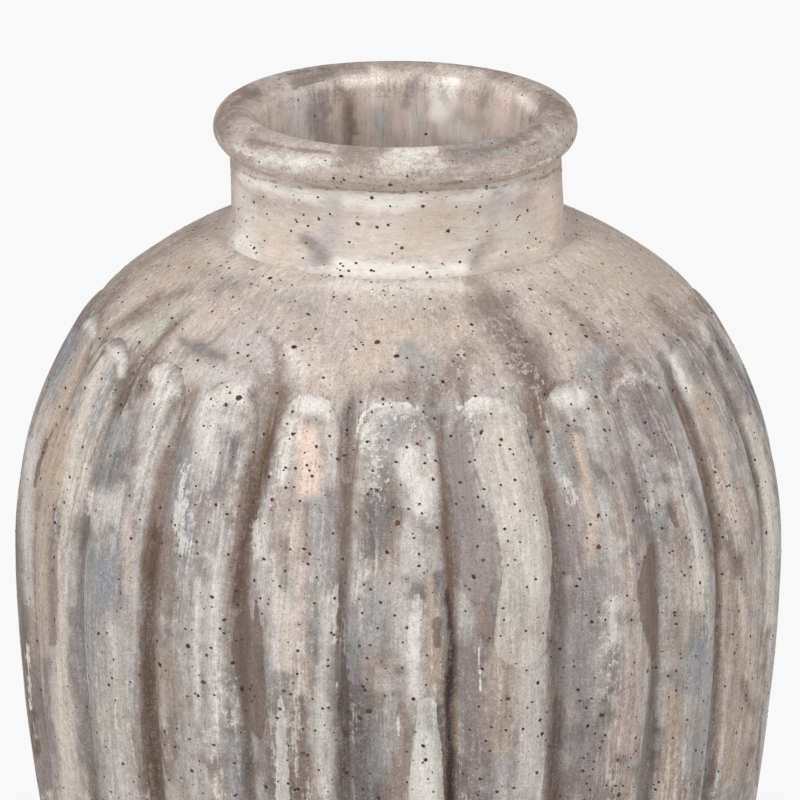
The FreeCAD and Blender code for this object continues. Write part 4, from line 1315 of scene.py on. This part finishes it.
def clay_material(name):
    material, tree, shader, add = nodes_of(name)

    def math_node(kind, a, b=0.0):
        return add("Math", {0: a, 1: b}, operation=kind)

    def times(a, b):
        return math_node("MULTIPLY", a, b)

    def plus(a, b):
        return math_node("ADD", a, b)

    def swing(noise, amount):
        """A noise's swing about its middle."""
        return times(plus(noise, -0.5), amount)

    def step(value, low, high):
        return add("MapRange", {"Value": value, "From Min": low, "From Max": high}, interpolation_type="SMOOTHSTEP")

    def noise(where, size, detail=3.0, rough=0.55):
        return add("TexNoise", {"Vector": where, "Scale": 1 / size, "Detail": detail, "Roughness": rough})

    def blend(factor, a, b):
        return add("Mix", {0: factor, 6: a, 7: b}, output=2, data_type="RGBA")

    def scaled(colour, amount):
        return add("VectorMath", {0: colour, "Scale": amount}, operation="SCALE")

    def attribute(name):
        node = tree.nodes.new("ShaderNodeAttribute")
        node.attribute_name = name
        return node.outputs

    def tone(name):
        return (*linear(name), 1)

    place = add("VectorMath", {0: add("TexCoord", output=3), "Scale": 1 / METRE}, operation="SCALE")
    brush = attribute("brush")["Vector"]
    wear = add("SeparateXYZ", {0: attribute("wear")["Vector"]}).node.outputs
    relief, scumble, grime = wear[0], wear[1], wear[2]

    grain = noise(place, 1.0, 3.0, 0.65)
    sponge = noise(place, 2.8, 6.0, 0.72)
    cloud = noise(place, 12.0, 4.0, 0.6)
    bristle = noise(brush, 0.8, 3.0, 0.6)
    streak = noise(brush, 2.6, 4.0, 0.6)

    # Thin and thick places in the brushed coats
    wash = attribute("wash")
    colour, brushed = wash["Color"], wash["Alpha"]
    spotty = times(plus(swing(sponge, 0.60), swing(grain, 0.90)), brushed)
    tint = plus(plus(swing(streak, 0.50), swing(bristle, 0.45)), spotty)
    paler, darker = step(tint, 0.0, 0.22), step(times(tint, -1.0), 0.0, 0.22)
    colour = blend(times(paler, 0.12), colour, tone("white"))
    colour = scaled(colour, plus(1.0, plus(times(paler, 0.22), times(darker, -0.30))))

    # Dry-brushed drags of white and slate, in patches
    drag = plus(times(streak, 0.45), plus(times(bristle, 0.25), times(sponge, 0.45)))
    drag_again = plus(times(noise(brush, 3.4, 5.0, 0.62), 0.6), times(noise(place, 2.1, 6.0, 0.75), 0.5))
    patch, patch_again = noise(brush, 9.0, 2.0, 0.5), noise(brush, 13.0, 2.0, 0.5)
    chalk = times(step(drag, 0.590, 0.67), step(patch, 0.47, 0.62))
    smoke = times(step(drag_again, 0.56, 0.66), step(patch_again, 0.46, 0.60))
    colour = blend(times(times(smoke, brushed), 0.50), colour, tone("slate"))
    raised = step(relief, 0.02, 0.35)
    colour = blend(times(times(chalk, raised), times(brushed, 0.50)), colour, tone("white"))
    heights = times(tint, 0.5)
    # Coat, how ragged its edges are, how soft, and how well it covers
    coats = (("dry", 1.7, 0.16, 0.55), ("full", 0.9, 0.10, 0.80), ("late", 0.9, 0.09, 0.50))
    for coat, ragged, softness, thick in coats:
        layer = attribute(coat)
        edge = plus(swing(streak, 0.5), plus(swing(bristle, 0.6), swing(sponge, 0.8)))
        mask = step(plus(layer["Alpha"], times(edge, ragged)), 0.5 - softness, 0.5 + softness)
        mask = times(mask, step(layer["Alpha"], 0.02, 0.10))
        over = scaled(layer["Color"], plus(1.0, plus(times(paler, 0.22), times(darker, -0.26))))
        colour = blend(times(mask, thick), colour, over)
        heights = plus(heights, times(mask, 0.35))

    # Fine white grains that a nearly dry sponge leaves, and dirt in the pores
    white = step(plus(plus(sponge, times(grain, 0.3)), times(scumble, 0.17)), 0.74, 0.86)
    white = times(white, times(raised, step(scumble, 0.02, 0.3)))
    colour = blend(times(white, 0.75), colour, tone("white"))
    dirt = times(step(plus(plus(sponge, times(grain, 0.3)), times(grime, 0.17)), 0.74, 0.88), step(grime, 0.02, 0.3))
    colour = blend(times(dirt, 0.55), colour, tone("purple"))
    crest = times(step(plus(times(grain, 0.5), times(sponge, 0.5)), 0.53, 0.64), step(relief, 0.2, 0.9))
    colour = blend(times(crest, 0.12), colour, tone("white"))
    pores = step(plus(times(grain, 0.6), times(sponge, 0.4)), 0.42, 0.34)
    colour = blend(times(times(pores, brushed), 0.35), colour, tone("taupe"))

    tree.links.new(colour, shader.inputs["Base Color"])
    gloss = plus(0.70, plus(swing(sponge, 0.3), swing(cloud, 0.3)))
    tree.links.new(math_node("MAXIMUM", gloss, 0.5), shader.inputs["Roughness"])
    shader.inputs["Specular IOR Level"].default_value = 0.3
    height = plus(plus(times(grain, 0.35), times(sponge, 0.5)), plus(times(bristle, 0.35), heights))
    bump = add("Bump", {"Height": height, "Distance": 0.00030, "Strength": 0.9})
    tree.links.new(bump, shader.inputs["Normal"])
    return material


def speck_material(name):
    material, tree, shader, add = nodes_of(name)
    attribute = tree.nodes.new("ShaderNodeAttribute")
    attribute.attribute_name = "tint"
    place = add("TexCoord", output=3)
    grit = add("TexNoise", {"Vector": place, "Scale": 1800.0, "Detail": 3.0})
    mixed = add("Math", {0: attribute.outputs["Fac"], 1: add("Math", {0: grit, 1: -0.5})})
    ramp = add("ValToRGB", {0: mixed})
    colours = ramp.node.color_ramp
    colours.elements[0].position, colours.elements[0].color = 0.05, (0.022, 0.008, 0.007, 1)
    colours.elements[1].position, colours.elements[1].color = 0.95, (0.135, 0.040, 0.024, 1)
    middle = colours.elements.new(0.5)
    middle.color = (0.062, 0.015, 0.011, 1)
    tree.links.new(ramp, shader.inputs["Base Color"])
    shader.inputs["Roughness"].default_value = 0.6
    bump = add("Bump", {"Height": grit, "Distance": 0.0001, "Strength": 0.5})
    tree.links.new(bump, shader.inputs["Normal"])
    return material


clay = clay_material("painted_clay")
for piece in pieces.values():
    piece.data.materials.append(clay)
specks.data.materials.append(speck_material("iron_specks"))


# Camera, floor and light
def aim(thing, place, target):
    direction = [b - a for a, b in zip(place, target)]
    thing.location = place
    thing.rotation_mode = "QUATERNION"
    thing.rotation_quaternion = Vector(direction).to_track_quat("-Z", "Y")


target = [c * METRE for c in VIEW_TARGET]
camera = bpy.data.objects.new("camera", bpy.data.cameras.new("camera"))
bpy.context.scene.collection.objects.link(camera)
bpy.context.scene.camera = camera
camera.data.sensor_width = SENSOR
camera.data.lens = LENS
camera.data.clip_end = 100
distance = VIEW_DISTANCE * METRE
raised = target[2] + distance * math.sin(VIEW_ELEVATION)
aim(camera, (target[0], -distance * math.cos(VIEW_ELEVATION), raised), target)


def lamp(name, place, size, power):
    data = bpy.data.lights.new(name, "AREA")
    data.shape = "DISK"
    data.size = size
    data.energy = power
    thing = bpy.data.objects.new(name, data)
    bpy.context.scene.collection.objects.link(thing)
    aim(thing, place, (0, 0, 0.3))


lamp("softbox_left", (-1.9, -1.6, 1.1), 1.6, 26)
lamp("softbox_right", (2.0, -1.4, 0.9), 1.6, 17)
lamp("overhead", (0.0, -0.7, 2.1), 1.2, 12)

# Pale studio: the backdrop's colour for the camera, an even light for the vase
BACKDROP = 0.94
world = bpy.data.worlds.new("studio")
bpy.context.scene.world = world
world.use_nodes = True
tree = world.node_tree
lit = tree.nodes["Background"]
lit.inputs["Color"].default_value = (1, 1, 1, 1)
lit.inputs["Strength"].default_value = 0.50
shown = tree.nodes.new("ShaderNodeBackground")
shown.inputs["Color"].default_value = (BACKDROP, BACKDROP, BACKDROP, 1)
either = tree.nodes.new("ShaderNodeMixShader")
path = tree.nodes.new("ShaderNodeLightPath")
tree.links.new(path.outputs["Is Camera Ray"], either.inputs[0])
tree.links.new(lit.outputs[0], either.inputs[1])
tree.links.new(shown.outputs[0], either.inputs[2])
tree.links.new(either.outputs[0], tree.nodes["World Output"].inputs["Surface"])

# Floor: keeps the shadow round the vase and turns into the plain backdrop further away
floor_mesh = bpy.data.meshes.new("floor")
rings, spokes = (0.0, 0.5, 1.5, 6.0, 30.0), 48
floor_points = [(0, 0, 0)]
floor_faces = [(0, 1 + i, 1 + (i + 1) % spokes) for i in range(spokes)]
for k, reach in enumerate(rings[1:]):
    turns = [2 * math.pi * i / spokes for i in range(spokes)]
    floor_points += [(reach * math.cos(turn), reach * math.sin(turn), 0) for turn in turns]
    if k:
        a, b = 1 + (k - 1) * spokes, 1 + k * spokes
        floor_faces += [(a + i, b + i, b + (i + 1) % spokes, a + (i + 1) % spokes) for i in range(spokes)]
floor_mesh.from_pydata(floor_points, [], floor_faces)
floor = bpy.data.objects.new("floor", floor_mesh)
bpy.context.scene.collection.objects.link(floor)
material, tree, shader, add = nodes_of("floor")
shader.inputs["Base Color"].default_value = (0.86, 0.86, 0.86, 1)
shader.inputs["Roughness"].default_value = 0.9
shader.inputs["Specular IOR Level"].default_value = 0.1
away = add("VectorMath", {0: add("TexCoord", output=3)}, output=1, operation="LENGTH")
far = add("MapRange", {"Value": away, "From Min": 0.20, "From Max": 0.45}, interpolation_type="SMOOTHSTEP")
camera_ray = add("LightPath", output=0)
glow = add("Emission", {"Color": (BACKDROP, BACKDROP, BACKDROP, 1)})
shown_far = add("Math", {0: far, 1: camera_ray}, operation="MULTIPLY")
mixed = add("MixShader", {0: shown_far, 1: shader.outputs[0], 2: glow})
tree.links.new(mixed, tree.nodes["Material Output"].inputs["Surface"])
floor_mesh.materials.append(material)

bpy.context.scene.view_settings.view_transform = "Standard"
